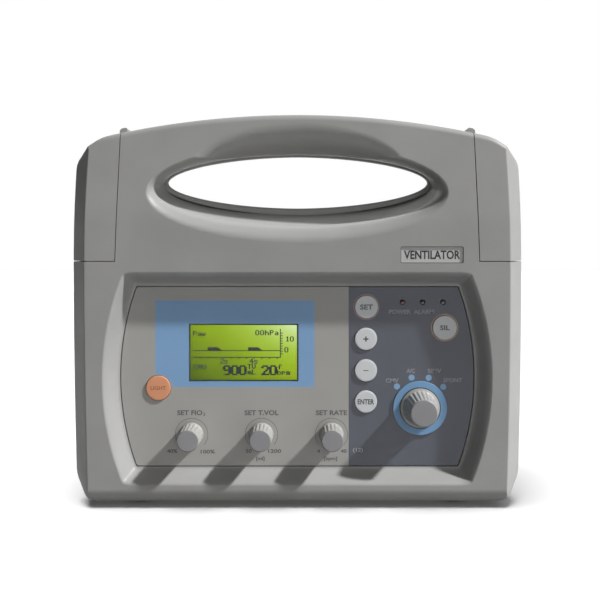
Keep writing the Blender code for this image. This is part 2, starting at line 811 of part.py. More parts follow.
def connector_plate():
    x0, x1, z0, z1 = grown(BAY, -1.0)
    depth = (BAY_FLOOR, BAY_FLOOR + BAY_PLATE)
    plate = block("connector_plate", (x0, x1), depth, (z0, z1), bevel=0.4)
    through = (BAY_FLOOR - 2, BAY_FLOOR + 4)
    return cut(
        plate,
        *[disc("port_cut", x, z, r - 3 + CLEAR, *through) for x, z, r in CONNECTORS.values()],
        slab("socket_cut", rectangle(*SOCKET), *through),
        slab("rocker_cut", rectangle(*ROCKER), *through),
    )


def connectors():
    """The three gas connectors and the power socket, each flanged on the connector plate."""
    face, back = PORT_FACE, PORT_BACK
    x, z, radius = CONNECTORS["patient_outlet"]
    turned(
        "patient_outlet",
        [
            (6.6, back),
            (radius - 3, back),
            (radius - 3, face),
            (radius + 3, face),
            (radius + 3, face + 3),
            (radius, face + 3),
            (radius - 0.4, face + 23),
            (7.6, face + 23),
        ],
        x,
        z,
    )
    x, z, radius = CONNECTORS["oxygen_inlet"]
    threads = []
    for i in range(4):
        threads += [(7.0, face + 8 + 3 * i), (7.7, face + 9.5 + 3 * i)]
    turned(
        "oxygen_inlet",
        [
            (3.0, back),
            (radius - 3, back),
            (radius - 3, face),
            (radius, face),
            (radius, face + 7),
            *threads,
            (6.6, face + 20),
            (6.6, face + 22),
            (3.0, face + 22),
        ],
        x,
        z,
    )
    x, z, radius = CONNECTORS["pressure_port"]
    turned(
        "pressure_port",
        [
            (1.2, back),
            (radius - 3, back),
            (radius - 3, face),
            (radius, face),
            (radius, face + 4),
            (2.4, face + 4),
            (2.4, face + 8),
            (3.2, face + 9),
            (2.2, face + 13),
            (3.2, face + 14),
            (1.9, face + 18),
            (1.2, face + 18),
        ],
        x,
        z,
        14,
    )
    x0, x1, z0, z1 = grown(SOCKET, -CLEAR)
    socket = block("power_socket", (x0, x1), (back - 6, face + 2), (z0, z1), bevel=0.5)
    flange = block("flange", (x0 - 3, x1 + 3), (face, face + 2), (z0 - 3, z1 + 3))
    join(socket, flange)
    cut(socket, disc("plug_room", (x0 + x1) / 2, (z0 + z1) / 2, 7.0, face - 12, face + 5))


def power_switch():
    """A rocker switch: a frame fixed to the plate and a rocker that tips about its middle."""
    face = PORT_FACE
    x0, x1, z0, z1 = grown(ROCKER, -CLEAR)
    frame = block("switch_frame", (x0, x1), (face - 18, face + 1.6), (z0, z1), bevel=0.4)
    join(frame, block("rim", (x0 - 2, x1 + 2), (face, face + 1.6), (z0 - 2, z1 + 2), bevel=0.3))
    cut(frame, slab("rocker_room", rectangle(*grown(ROCKER, -2.0)), face - 12, face + 4))
    middle = (ROCKER[2] + ROCKER[3]) / 2
    half = (ROCKER[3] - ROCKER[2]) / 2 - 3.2
    side = [
        (-half, face - 1.5),
        (-half + 1.0, face + 1.0),
        (0.0, face + 2.6),
        (half - 1.0, face + 4.6),
        (half, face + 2.6),
        (half - 1.5, face - 4.0),
        (0.0, face - 7.5),
        (-half + 1.5, face - 6.0),
    ]
    bm = bmesh.new()
    rows = []
    for x in (ROCKER[0] + 3.2, ROCKER[1] - 3.2):
        rows.append([bm.verts.new(at(x, d, middle + z)) for z, d in side])
    edges = [[bm.edges.new(pair) for pair in zip(r, r[1:] + r[:1])] for r in rows]
    bmesh.ops.bridge_loops(bm, edges=edges[0] + edges[1])
    for row in rows:
        bm.faces.new(row)
    return finished("power_rocker", bm)


def filter_parts():
    """The ambient air filter in the rear wall and its slotted cover."""
    seat = FILTER_SEAT
    cover = turned(
        "filter_cover",
        [
            (0, seat + CLEAR),
            (FILTER_RADIUS - CLEAR, seat + CLEAR),
            (FILTER_RADIUS - CLEAR, CASE_DEPTH - 0.4),
            (FILTER_RADIUS - 1.0, CASE_DEPTH),
            (0, CASE_DEPTH),
        ],
        FILTER_X,
        FILTER_Z,
        28,
    )
    slots = []
    for rise in (-12.0, -6.0, 0.0, 6.0, 12.0):
        half = math.sqrt((FILTER_RADIUS - 4) ** 2 - rise**2)
        z = FILTER_Z + rise
        slot = rectangle(FILTER_X - half, FILTER_X + half, z - 1.3, z + 1.3)
        slots.append(slab("slot", slot, seat - 2, CASE_DEPTH + 2))
    cut(cover, *slots)
    disc("air_filter", FILTER_X, FILTER_Z, FILTER_RADIUS - 3.6, CASE_DEPTH - 12, seat - 0.2)


def gas_parts():
    """The manifold behind the connectors and the hose to it from the oxygen mixer."""
    block("gas_block", (54, 120), (58, 84), (34, 98), bevel=1.5)
    curve = bpy.data.curves.new("oxygen_hose", "CURVE")
    curve.dimensions = "3D"
    curve.bevel_depth = 3.0 * MM
    curve.bevel_resolution = 2
    curve.use_fill_caps = True
    start, end = Vector((OXYGEN_X, 44.6, KNOB_Z)), Vector((53.4, 71.0, 60.0))
    pull = [start, start + Vector((0, 40, 0)), end - Vector((60, 0, 0)), end]
    steps = 14
    line = curve.splines.new("POLY")
    line.points.add(steps)
    for i, point in enumerate(line.points):
        t = i / steps
        share = [(1 - t) ** 3, 3 * t * (1 - t) ** 2, 3 * t * t * (1 - t), t**3]
        place = sum((w * p for w, p in zip(share, pull)), Vector())
        point.co = (*at(*place), 1.0)
    drawn = bpy.data.objects.new("hose_curve", curve)
    bpy.context.scene.collection.objects.link(drawn)
    graph = bpy.context.evaluated_depsgraph_get()
    bm = bmesh.new()
    bm.from_mesh(bpy.data.meshes.new_from_object(drawn.evaluated_get(graph)))
    bpy.data.objects.remove(drawn)
    finished("oxygen_hose", bm)


def main_board():
    block("main_board", (-116, 40), (50.0, 51.6), (100, 176))


# ---------------------------------------------------------------- finishes


def finish(name, colour, roughness, metallic=0.0):
    made = bpy.data.materials.new(name)
    made.use_nodes = True
    shader = made.node_tree.nodes["Principled BSDF"]
    shader.inputs["Base Color"].default_value = (*colour, 1.0)
    shader.inputs["Roughness"].default_value = roughness
    shader.inputs["Metallic"].default_value = metallic
    return made


FINISHES = {
    "case_grey": ((0.27, 0.27, 0.26), 0.5, 0.0),
    "panel_grey": ((0.32, 0.32, 0.31), 0.45, 0.0),
    "display_green": ((0.34, 0.52, 0.02), 0.3, 0.0),
    "clear_window": ((0.8, 0.85, 0.85), 0.1, 0.0),
    "ring_blue": ((0.12, 0.3, 0.55), 0.4, 0.0),
    "knob_grey": ((0.4, 0.39, 0.36), 0.4, 0.0),
    "cap_grey": ((0.2, 0.2, 0.21), 0.5, 0.0),
    "key_white": ((0.62, 0.63, 0.64), 0.4, 0.0),
    "key_orange": ((0.75, 0.32, 0.16), 0.45, 0.0),
    "lamp_red": ((0.12, 0.01, 0.01), 0.2, 0.0),
    "rubber_black": ((0.02, 0.02, 0.02), 0.8, 0.0),
    "plastic_black": ((0.03, 0.03, 0.03), 0.45, 0.0),
    "steel": ((0.6, 0.6, 0.6), 0.3, 1.0),
    "brass": ((0.6, 0.42, 0.16), 0.3, 1.0),
    "aluminium": ((0.65, 0.66, 0.67), 0.35, 1.0),
    "board_green": ((0.02, 0.16, 0.06), 0.4, 0.0),
    "battery_blue": ((0.05, 0.1, 0.3), 0.4, 0.0),
    "filter_white": ((0.7, 0.7, 0.66), 0.9, 0.0),
}
FINISH_OF = {
    "control_panel": "panel_grey",
    "display_window": "clear_window",
    "display_glass": "display_green",
    "mode_ring": "ring_blue",
    "light_key": "key_orange",
    "badge_plate": "aluminium",
    "connector_plate": "aluminium",
    "gas_block": "aluminium",
    "display_frame": "steel",
    "oxygen_inlet": "brass",
    "pressure_port": "brass",
    "patient_outlet": "aluminium",
    "battery_pack": "battery_blue",
    "air_filter": "filter_white",
    "filter_cover": "plastic_black",
    "oxygen_hose": "rubber_black",
    "power_socket": "plastic_black",
    "power_rocker": "plastic_black",
    "switch_frame": "plastic_black",
}
FINISH_ENDINGS = [
    ("_knob", "knob_grey"),
    ("_knob_cap", "cap_grey"),
    ("_key", "key_white"),
    ("_lamp", "lamp_red"),
    ("_shaft", "steel"),
    ("_control", "plastic_black"),
    ("_board", "board_green"),
]
FINISH_STARTS = [("foot", "rubber_black"), ("case_screw", "steel")]


def finish_of(name):
    if name in FINISH_OF:
        return FINISH_OF[name]
    for ending, slot in FINISH_ENDINGS:
        if name.endswith(ending):
            return slot
    for start, slot in FINISH_STARTS:
        if name.startswith(start):
            return slot
    return "case_grey"


def main():
    for obj in list(bpy.data.objects):
        bpy.data.objects.remove(obj)

    front_parts()
    rear_shell()
    for side, word in ((-1, "left"), (1, "right")):
        for d, place in zip(FOOT_D, ("front", "rear")):
            foot(f"foot_{place}_{word}", side * FOOT_X, d)
    for i, (x, z) in enumerate(SCREW_POSTS):
        case_screw(f"case_screw_{i + 1}", x, z)
    badge_plate()

    control_panel()
    display_parts()
    for word, x, z in SMALL_KNOBS:
        knob(word + "_knob", x, z, *SMALL_KNOB, PANEL_DEPTH - 0.5)
        end = MIXER_END if word == "oxygen" else DIAL_END
        rotary_control(word + "_control", x, z, DIAL_RADIUS, end)
    knob("mode_knob", MODE_X, MODE_Z, *MODE_KNOB, PANEL_DEPTH - 0.6)
    rotary_control("mode_control", MODE_X, MODE_Z, MODE_SWITCH_RADIUS, MODE_SWITCH_END)
    for word, x, z, radius in KEYS:
        key(word, x, z, radius)
    key_board()
    for word, x in LAMPS:
        lamp(word, x)
    mode_ring()

    battery_parts()
    connector_plate()
    connectors()
    power_switch()
    filter_parts()
    gas_parts()
    main_board()

    slots = {name: finish(name, *values) for name, values in FINISHES.items()}
    for obj in bpy.context.scene.objects:
        obj.data.materials.clear()
        obj.data.materials.append(slots[finish_of(obj.name)])
        if obj.type == "MESH":
            obj.data.shade_smooth()
            obj.data.set_sharp_from_angle(angle=math.radians(30))


main()
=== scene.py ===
# %% [markdown]
# # A portable transport ventilator
# This lesson dresses a finished mechanical model. The model arrives as a fixed frame of plain
# solids, one for each part, and each part that the eye meets is made again here with rounder
# edges, print, lettering and a surface of its own. Nothing in the frame is moved: every new piece
# takes its place from the solid that it stands for.

# %% Load the frame
import math

import bmesh
import bpy
from mathutils import Matrix, Vector


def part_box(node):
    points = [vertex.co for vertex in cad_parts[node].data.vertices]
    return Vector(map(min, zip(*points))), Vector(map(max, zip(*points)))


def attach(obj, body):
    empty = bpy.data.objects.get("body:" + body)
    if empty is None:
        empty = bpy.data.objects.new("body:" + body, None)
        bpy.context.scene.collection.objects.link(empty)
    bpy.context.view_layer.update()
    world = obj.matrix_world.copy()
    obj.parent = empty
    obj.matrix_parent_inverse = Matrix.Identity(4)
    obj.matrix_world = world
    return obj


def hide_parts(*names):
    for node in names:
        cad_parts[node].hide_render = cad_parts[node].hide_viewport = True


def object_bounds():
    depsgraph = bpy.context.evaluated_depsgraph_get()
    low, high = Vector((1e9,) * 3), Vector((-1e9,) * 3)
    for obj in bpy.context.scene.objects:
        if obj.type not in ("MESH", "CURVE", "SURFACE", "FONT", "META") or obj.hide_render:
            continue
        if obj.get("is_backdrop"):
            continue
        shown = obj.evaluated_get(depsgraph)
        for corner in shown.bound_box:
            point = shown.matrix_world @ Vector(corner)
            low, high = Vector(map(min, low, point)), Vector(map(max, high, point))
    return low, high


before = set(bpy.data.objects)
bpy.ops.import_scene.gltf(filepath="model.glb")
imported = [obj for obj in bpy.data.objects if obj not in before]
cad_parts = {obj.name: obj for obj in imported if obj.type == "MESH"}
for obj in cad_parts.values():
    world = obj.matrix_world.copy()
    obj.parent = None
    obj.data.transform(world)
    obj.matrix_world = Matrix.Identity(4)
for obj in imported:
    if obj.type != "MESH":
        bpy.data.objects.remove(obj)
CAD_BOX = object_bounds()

# %% [markdown]
# ## One way to say where things are
# A case like this is drawn from the front: how far across, how far back from the flat face, how
# far up from the bottom. Three numbers in millimetres in that order keep the code readable, and
# one function turns them into Blender's metres.

# %% Case coordinates
MM = 0.001
SHELL_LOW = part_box("front_shell")[0]
FACE_Y = SHELL_LOW.y
BASE_Z = SHELL_LOW.z


def at(x, d, z):
    """The point x across, d behind the front face and z above the case's bottom, in metres."""
    return Vector((x * MM, FACE_Y + d * MM, BASE_Z + z * MM))


def span(node):
    """A solid's extent in case coordinates: x from, x to, d from, d to, z from, z to."""
    low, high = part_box(node)
    xs = (low.x / MM, high.x / MM)
    ds = ((low.y - FACE_Y) / MM, (high.y - FACE_Y) / MM)
    zs = ((low.z - BASE_Z) / MM, (high.z - BASE_Z) / MM)
    return (*xs, *ds, *zs)


def centre(node):
    """The middle of a solid as seen from the front, (x, z)."""
    x0, x1, _, _, z0, z1 = span(node)
    return (x0 + x1) / 2, (z0 + z1) / 2


PARTING = span("front_shell")[3]
HANDLE_TOP = span("front_shell")[5]
CASE_DEPTH = span("rear_shell")[3]
PANEL_D, PANEL_BACK = span("control_panel")[2:4]
print(f"panel {PANEL_D:.1f} mm deep, parting at {PARTING:.1f}, back at {CASE_DEPTH:.1f}")

# %% [markdown]
# ## Curves from corners
# Moulded parts have no sharp corners. Here an outline or a profile is written as the few corners
# that a draughtsman would give, and this helper swaps each corner for a short curve that touches
# both of its sides. The same helper rounds the rim of a dial and the shoulder of the case.


# %% Round the corners of a line of points
def rounded(points, radii, steps=4, closed=False):
    """Swaps each corner for a curve. radii is one number, or one for each point (0 leaves it)."""
    if not isinstance(radii, (list, tuple)):
        radii = [radii] * len(points)
    count = len(points)
    made = []
    for i, (point, radius) in enumerate(zip(points, radii)):
        if radius == 0 or (not closed and i in (0, count - 1)):
            made.append(point)
            continue
        here = Vector(point)
        before = Vector(points[i - 1]) - here
        after = Vector(points[(i + 1) % count]) - here
        start = here + before.normalized() * min(radius, before.length * 0.45)
        end = here + after.normalized() * min(radius, after.length * 0.45)
        for k in range(steps + 1):
            t = k / steps
            curve = start * (1 - t) ** 2 + here * (2 * t * (1 - t)) + end * t**2
            made.append(tuple(curve))
    return made


def oval(half_wide, half_high, z, x=0.0, steps=112, pinch=0.0):
    """An ellipse as seen from the front. A little pinch makes its two ends more pointed."""
    made = []
    for i in range(steps):
        across, up = math.cos(2 * math.pi * i / steps), math.sin(2 * math.pi * i / steps)
        across = math.copysign(abs(across) ** (1 + pinch), across)
        up = math.copysign(abs(up) ** (1 + pinch), up)
        made.append((x + half_wide * across, z + half_high * up))
    return made


def rectangle(x0, x1, z0, z1, radius=0.0):
    corners = [(x0, z0), (x1, z0), (x1, z1), (x0, z1)]
    return rounded(corners, radius, 5, closed=True) if radius else corners


def quarter_turn(steps, first=0):
    """The sine and one less the cosine of even steps through a right angle."""
    turns = [math.pi / 2 * i / steps for i in range(first, steps + 1)]
    return [(math.sin(turn), 1 - math.cos(turn)) for turn in turns]


def mirrored(right):
    """A closed outline from its right half, listed from the bottom middle to the top middle."""
    return right + [(-x, z) for x, z in reversed(right[1:-1])]


print(len(rounded([(0, 0), (1, 0), (1, 1)], 0.2)), "points in a rounded corner")

# %% [markdown]
# ## A few ways to make a solid
# Nearly every part of the ventilator is one of four things. A *loft* bridges one outline after
# another through the depth, a *slab* is a loft that keeps its outline, a *turned* part is a profile
# spun about a line that runs front to back, and the rest is one of these with others cut out of it.
# Booleans are worth their risk here because the recess, the hand opening and the louvres really are
# cuts through one thin shell.


# %% Loft, slab, turn
def solid(name, bm):
    """Turns a bmesh into an object, closed and facing out."""
    bmesh.ops.remove_doubles(bm, verts=bm.verts, dist=1e-7)
    bmesh.ops.recalc_face_normals(bm, faces=bm.faces)
    mesh = bpy.data.meshes.new(name)
    bm.to_mesh(mesh)
    bm.free()
    made = bpy.data.objects.new(name, mesh)
    bpy.context.scene.collection.objects.link(made)
    return made


def loft(name, sections):
    """A closed solid through sections, each a (depth, outline) with equally many points."""
    bm = bmesh.new()
    rings = []
    for depth, outline in sections:
        verts = [bm.verts.new(at(x, depth, z)) for x, z in outline]
        rings.append([bm.edges.new(pair) for pair in zip(verts, verts[1:] + verts[:1])])
        if depth in (sections[0][0], sections[-1][0]):
            bm.faces.new(verts)
    for near, far in zip(rings, rings[1:]):
        bmesh.ops.bridge_loops(bm, edges=near + far)
    return solid(name, bm)


def tray(name, box, rows, radius):
    """A loft of the rectangle of a box, from rows of (depth, inset)."""
    x0, x1, _, _, z0, z1 = box
    return loft(name, [(d, rectangle(x0 + i, x1 - i, z0 + i, z1 - i, radius)) for d, i in rows])


def slab(name, outline, d0, d1):
    return loft(name, [(d0, outline), (d1, outline)])


def turned(name, profile, x, z, steps=72):
    """A profile of (radius, depth) points spun about the line through x and z."""
    bm = bmesh.new()
    verts = [bm.verts.new(at(x + radius, depth, z)) for radius, depth in profile]
    edges = [bm.edges.new(pair) for pair in zip(verts, verts[1:])]
    if profile[0][0] > 0:
        edges.append(bm.edges.new((verts[-1], verts[0])))
    around = {"cent": at(x, 0, z), "axis": (0, 1, 0), "angle": 2 * math.pi}
    bmesh.ops.spin(bm, geom=verts + edges, steps=steps, use_merge=True, **around)
    bmesh.ops.remove_doubles(bm, verts=bm.verts, dist=2e-6)
    return solid(name, bm)


def disc(name, x, z, radius, d0, d1, steps=48):
    return turned(name, [(0, d0), (radius, d0), (radius, d1), (0, d1)], x, z, steps)


def soften(bm, edges, width, segments):
    """Bevels some edges of an unfinished shape by width in millimetres."""
    how = {"affect": "EDGES", "segments": segments, "profile": 0.5, "material": -1}
    bmesh.ops.bevel(bm, geom=edges, offset=width * MM, **how)


# %% Cut, join and keep
def boolean(target, operation, *tools):
    """Applies all the tools to target at once, then removes them."""
    bm = bmesh.new()
    for tool in tools:
        bm.from_mesh(tool.data)
        bpy.data.objects.remove(tool)
    mesh = bpy.data.meshes.new("tools")
    bm.to_mesh(mesh)
    bm.free()
    helper = bpy.data.objects.new("tools", mesh)
    bpy.context.scene.collection.objects.link(helper)
    modifier = target.modifiers.new(operation, "BOOLEAN")
    modifier.operation = operation
    modifier.object = helper
    modifier.use_self = len(tools) > 1
    graph = bpy.context.evaluated_depsgraph_get()
    result = bpy.data.meshes.new_from_object(target.evaluated_get(graph))
    target.modifiers.clear()
    target.data = result
    bpy.data.objects.remove(helper)
    return target


def cut(target, *tools):
    return boolean(target, "DIFFERENCE", *tools)


def join(target, *tools):
    return boolean(target, "UNION", *tools)


def copied(source, name):
    made = source.copy()
    made.data = source.data.copy()
    made.name = name
    bpy.context.scene.collection.objects.link(made)
    return made


# %% [markdown]
# ## Handing a piece over
# A finished piece gets its material, smooth shading that breaks at real edges, and weighted
# normals, which keep a large flat face flat right up to the small curve beside it. Then it is hung
# on the body it moves with, and the solids it stands for are hidden.

# %% Finish a piece
MADE = []


def piece(obj, name, finish, body="case", stands_for=(), smooth=35.0):
    slot, material = finish
    obj.name = name
    obj.data.name = name
    obj.data.materials.clear()
    obj.data.materials.append(material)
    obj.data.shade_smooth()
    obj.data.set_sharp_from_angle(angle=math.radians(smooth))
    soft = obj.modifiers.new("weighted_normals", "WEIGHTED_NORMAL")
    soft.keep_sharp = True
    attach(obj, body)
    if stands_for:
        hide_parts(*stands_for)
    MADE.append(name)
    return obj


# %% [markdown]
# ## Surfaces
# Grey moulded plastic is never one flat grey: the mould is spark-eroded to a fine grain, and the
# colour drifts a little over the part. Both come from noise in object space, so the grain stays the
# same size on every part. The effect is a node group, built once, and each plastic sets its own
# grain size and strength.


# %% Node helpers
def node(tree, kind, inputs=None, **settings):
    """Adds a node, sets its options, and sets or links its inputs."""
    made = tree.nodes.new(kind)
    for key, value in settings.items():
        setattr(made, key, value)
    for key, value in (inputs or {}).items():
        if isinstance(value, bpy.types.NodeSocket):
            tree.links.new(value, made.inputs[key])
        else:
            made.inputs[key].default_value = value
    return made


def math_node(tree, operation, a, b=0.0, clamp=False):
    made = node(tree, "ShaderNodeMath", {0: a, 1: b}, operation=operation, use_clamp=clamp)
    return made.outputs[0]


def new_group(name, inputs, outputs):
    """An empty shader group: inputs are (name, default) and outputs are (name, socket kind)."""
    group = bpy.data.node_groups.new(name, "ShaderNodeTree")
    for label, value in inputs:
        socket = group.interface.new_socket(label, in_out="INPUT", socket_type="NodeSocketFloat")
        socket.default_value = value
    for label, kind in outputs:
        group.interface.new_socket(label, in_out="OUTPUT", socket_type=kind)
    return group, group.nodes.new("NodeGroupInput"), group.nodes.new("NodeGroupOutput")


def object_coords(tree):
    return tree.nodes.new("ShaderNodeTexCoord").outputs["Object"]


# %% The grain of moulded plastic
def build_moulded_grain():
    group, given, out = new_group(
        "moulded_grain",
        [("Grain Size", 0.4), ("Drift Size", 40.0)],
        [("Height", "NodeSocketFloat"), ("Drift", "NodeSocketFloat"), ("Rub", "NodeSocketFloat")],
    )
    coords = object_coords(group)
    fine = math_node(group, "DIVIDE", 1000.0, given.outputs["Grain Size"])
    broad = math_node(group, "DIVIDE", 1000.0, given.outputs["Drift Size"])
    grain = node(group, "ShaderNodeTexNoise", {"Vector": coords, "Scale": fine, "Detail": 2.0})
    drift = node(group, "ShaderNodeTexNoise", {"Vector": coords, "Scale": broad, "Detail": 3.0})
    rub = node(group, "ShaderNodeTexNoise", {"Vector": coords, "Scale": 90.0, "Detail": 6.0})
    group.links.new(grain.outputs["Fac"], out.inputs["Height"])
    group.links.new(drift.outputs["Fac"], out.inputs["Drift"])
    group.links.new(rub.outputs["Fac"], out.inputs["Rub"])
    return group


MOULDED_GRAIN = build_moulded_grain()

# %% [markdown]
# Every finish below starts from the same three steps: a colour that drifts, a roughness that
# varies where hands have rubbed it, and a bump from the grain. A helper wires them, and the
# Principled shader itself stays in the material, where its constant values are set directly.


# %% Wire one material
def scaled(colour, factor):
    return (*[min(c * factor, 1.0) for c in colour], 1.0)


def new_material(name, roughness, metallic=0.0, specular=0.5, coat=0.0):
    made = bpy.data.materials.new(name)
    made.use_nodes = True
    shader = made.node_tree.nodes["Principled BSDF"]
    shader.inputs["Roughness"].default_value = roughness
    shader.inputs["Metallic"].default_value = metallic
    shader.inputs["Specular IOR Level"].default_value = specular
    shader.inputs["Coat Weight"].default_value = coat
    return made, made.node_tree, shader


def shades(colour, spread):
    """A colour a little darker and a little paler."""
    return scaled(colour, 1 - spread), scaled(colour, 1 + spread)


def ramp(tree, factor, colours, low=0.3, high=0.7):
    """A colour ramp between two positions of a varying value."""
    made = node(tree, "ShaderNodeValToRGB", {"Fac": factor})
    first, last = made.color_ramp.elements
    first.position, first.color = low, colours[0]
    last.position, last.color = high, colours[1]
    return made.outputs["Color"]


def between(tree, value, low, high):
    """Spreads a 0 to 1 value over low to high."""
    made = node(tree, "ShaderNodeMapRange", {"Value": value, "To Min": low, "To Max": high})
    return made.outputs["Result"]


def drifting(tree, shader, value, colours):
    """Lets the base colour wander between two colours."""
    tree.links.new(ramp(tree, value, colours), shader.inputs["Base Color"])


def relief(tree, shader, height, depth):
    """Turns a varying value into bumps with a depth in millimetres."""
    bump = node(tree, "ShaderNodeBump", {"Height": height, "Distance": depth * MM})
    tree.links.new(bump.outputs["Normal"], shader.inputs["Normal"])


RUBBED_BY = 0.07


def surface(tree, shader, grain_size, depth, roughness, drift_size=40.0):
    """Adds grain and rubbed roughness to a shader and returns the drift value for its colour."""
    group = node(tree, "ShaderNodeGroup", node_tree=MOULDED_GRAIN)
    group.inputs["Grain Size"].default_value = grain_size
    group.inputs["Drift Size"].default_value = drift_size
    relief(tree, shader, group.outputs["Height"], depth)
    rubbed = between(tree, group.outputs["Rub"], roughness - RUBBED_BY, roughness + RUBBED_BY)
    tree.links.new(rubbed, shader.inputs["Roughness"])
    return group.outputs["Drift"]


def plastic(name, colour, roughness, grain=0.4, depth=0.02, drift=0.05, **extra):
    made, tree, shader = new_material(name, roughness, **extra)
    value = surface(tree, shader, grain, depth, roughness)
    drifting(tree, shader, value, shades(colour, drift))
    return made


CASE = ("case_grey", plastic("case_plastic", (0.328, 0.326, 0.318), 0.5, 0.55, 0.028))
KNOB = ("knob_grey", plastic("dial_plastic", (0.375, 0.37, 0.35), 0.36, 0.3, 0.006, 0.03))
CAP = ("cap_grey", plastic("dial_cap", (0.265, 0.262, 0.275), 0.42, 0.25, 0.006, 0.03))
KEY = ("key_white", plastic("key_plastic", (0.66, 0.68, 0.69), 0.4, 0.3, 0.005, 0.03))
KEY_ORANGE = ("key_orange", plastic("light_key_plastic", (0.74, 0.325, 0.17), 0.42, 0.3, 0.006, 0.05))
BLUE = ("ring_blue", plastic("ring_plastic", (0.17, 0.34, 0.56), 0.38, 0.3, 0.005, 0.04))
BLACK = ("plastic_black", plastic("black_plastic", (0.022, 0.022, 0.024), 0.45, 0.4, 0.012, 0.15))
RUBBER = ("rubber_black", plastic("foot_rubber", (0.02, 0.02, 0.02), 0.75, 0.5, 0.03, 0.25))
print("plastics:", CASE[1].name, KNOB[1].name, KEY[1].name)

# %% [markdown]
# Metal parts are turned or brushed. Fine parallel marks come from noise that is squeezed along one
# direction: stretched along x it reads as brushing, and on a turned part the marks run round it
# when the noise is read against the distance from front to back.


# %% Metals
def metal(name, colour, roughness, squeeze):
    made, tree, shader = new_material(name, roughness, metallic=1.0)
    mapping = node(tree, "ShaderNodeMapping", {"Vector": object_coords(tree), "Scale": squeeze})
    inputs = {"Vector": mapping.outputs["Vector"], "Scale": 1.0, "Detail": 4.0}
    value = node(tree, "ShaderNodeTexNoise", inputs).outputs["Fac"]
    tree.links.new(between(tree, value, roughness - 0.1, roughness + 0.12), shader.inputs["Roughness"])
    drifting(tree, shader, value, (scaled(colour, 0.88), scaled(colour, 1.08)))
    relief(tree, shader, value, 0.004)
    return made


BRUSHED = ("aluminium", metal("brushed_aluminium", (0.68, 0.69, 0.70), 0.34, (40, 40, 2600)))
TURNED = ("aluminium", metal("turned_aluminium", (0.70, 0.71, 0.72), 0.28, (60, 3000, 60)))
BRASS = ("brass", metal("turned_brass", (0.66, 0.46, 0.19), 0.26, (60, 3000, 60)))
STEEL = ("steel", metal("bright_steel", (0.60, 0.60, 0.61), 0.26, (300, 300, 300)))
print("metals:", BRUSHED[1].name, TURNED[1].name, BRASS[1].name, STEEL[1].name)

# %% [markdown]
# ## The case
# The outside of the case is one shape, cut into pieces afterwards, so the seams always meet. Seen
# from the front it is nearly a rectangle with cut lower corners, sides that bow out a little and a
# low arch along the handle. A flat face, a slanted strip down each side and a rounded bottom edge
# all come from how that outline grows with depth.

# %% Driving sizes of the case
STRIP = 10.6
STRIP_DEPTH = 16.0
CASE_HALF = span("front_shell")[1] - 0.02
WAIST_HALF = CASE_HALF - STRIP
WAIST_Z = 157.0
FOOT_BOW, SHOULDER_BOW = 2.6, 2.4
CORNER_RISE = 14.0
SHOULDER_Z, SHOULDER_DROP = 232.6, 9.2
SHOULDER_MID = (127.0, 238.0)
ARCH_HALF, ARCH_Z = 114.7, 240.6
BOTTOM_ROUND, TOP_ROUND = 10.0, 4.0
WALL = 3.0
SEAM, CLEAR = 0.5, 0.3


def face_half(z):
    """Half width of the flat face at height z."""
    if z < WAIST_Z:
        return WAIST_HALF - FOOT_BOW * ((WAIST_Z - z) / WAIST_Z) ** 2
    return WAIST_HALF - SHOULDER_BOW * ((z - WAIST_Z) / (SHOULDER_Z - WAIST_Z)) ** 2


def arch_z(x):
    rise = HANDLE_TOP - ARCH_Z
    radius = (ARCH_HALF**2 + rise**2) / (2 * rise)
    return HANDLE_TOP - radius + math.sqrt(radius**2 - x**2)


def case_outline(strip, top_inset=0.0, low=0.0, inset=0.0):
    """The case from the front: its sides out by strip, its walls in by inset."""
    share = max(strip / STRIP, 0.02)
    low += inset
    top = top_inset + inset
    side_from = low + CORNER_RISE * share
    side_to = SHOULDER_Z - SHOULDER_DROP * share - top
    half = [(0.0, low), (face_half(0.0) - inset, low)]
    for i in range(15):
        z = side_from + (side_to - side_from) * i / 14
        half.append((face_half(z) + strip - inset, z))
    half.append((face_half(SHOULDER_Z) - inset, SHOULDER_Z - top))
    half.append((SHOULDER_MID[0] - inset / 2, SHOULDER_MID[1] - top))
    radii = [0, 5.0, 6.0] + [0] * 13 + [6.0, 6.0, 7.0, 7.0]
    for i in range(25):
        x = ARCH_HALF * (1 - i / 24)
        half.append((x, arch_z(x) - top))
    return mirrored(rounded(half, radii + [0] * 24))


def quarter(d, radius):
    """How far a rounded edge is from its full size at depth d behind its start."""
    rest = max(radius - d, 0.0)
    return radius - math.sqrt(radius**2 - rest**2)


print(f"the case is {2 * CASE_HALF:.1f} mm wide, its outline has {len(case_outline(5.0))} points")

# %% [markdown]
# The strip down each side meets the face in a soft crease and the side in a softer one. Both are
# arcs that touch the lines they join, so the width of the strip is a small function of depth.


# %% Section through the side strip
SLANT = math.atan2(STRIP, STRIP_DEPTH)
CREASE, SHOULDER = 1.6, 5.0


def strip_at(d):
    """How far the side stands out beyond the flat face at depth d."""
    turn = math.pi / 2 - SLANT
    near = CREASE * math.tan(turn / 2)
    if d < near * math.cos(SLANT):
        return -near + CREASE * math.sin(math.acos(max(1 - d / CREASE, -1.0)))
    far = SHOULDER * math.tan(SLANT / 2)
    if d < STRIP_DEPTH - far * math.cos(SLANT):
        return STRIP * d / STRIP_DEPTH
    lean = math.asin(min(max((STRIP_DEPTH + far - d) / SHOULDER, 0.0), 1.0))
    return STRIP - SHOULDER * (1 - math.cos(lean))


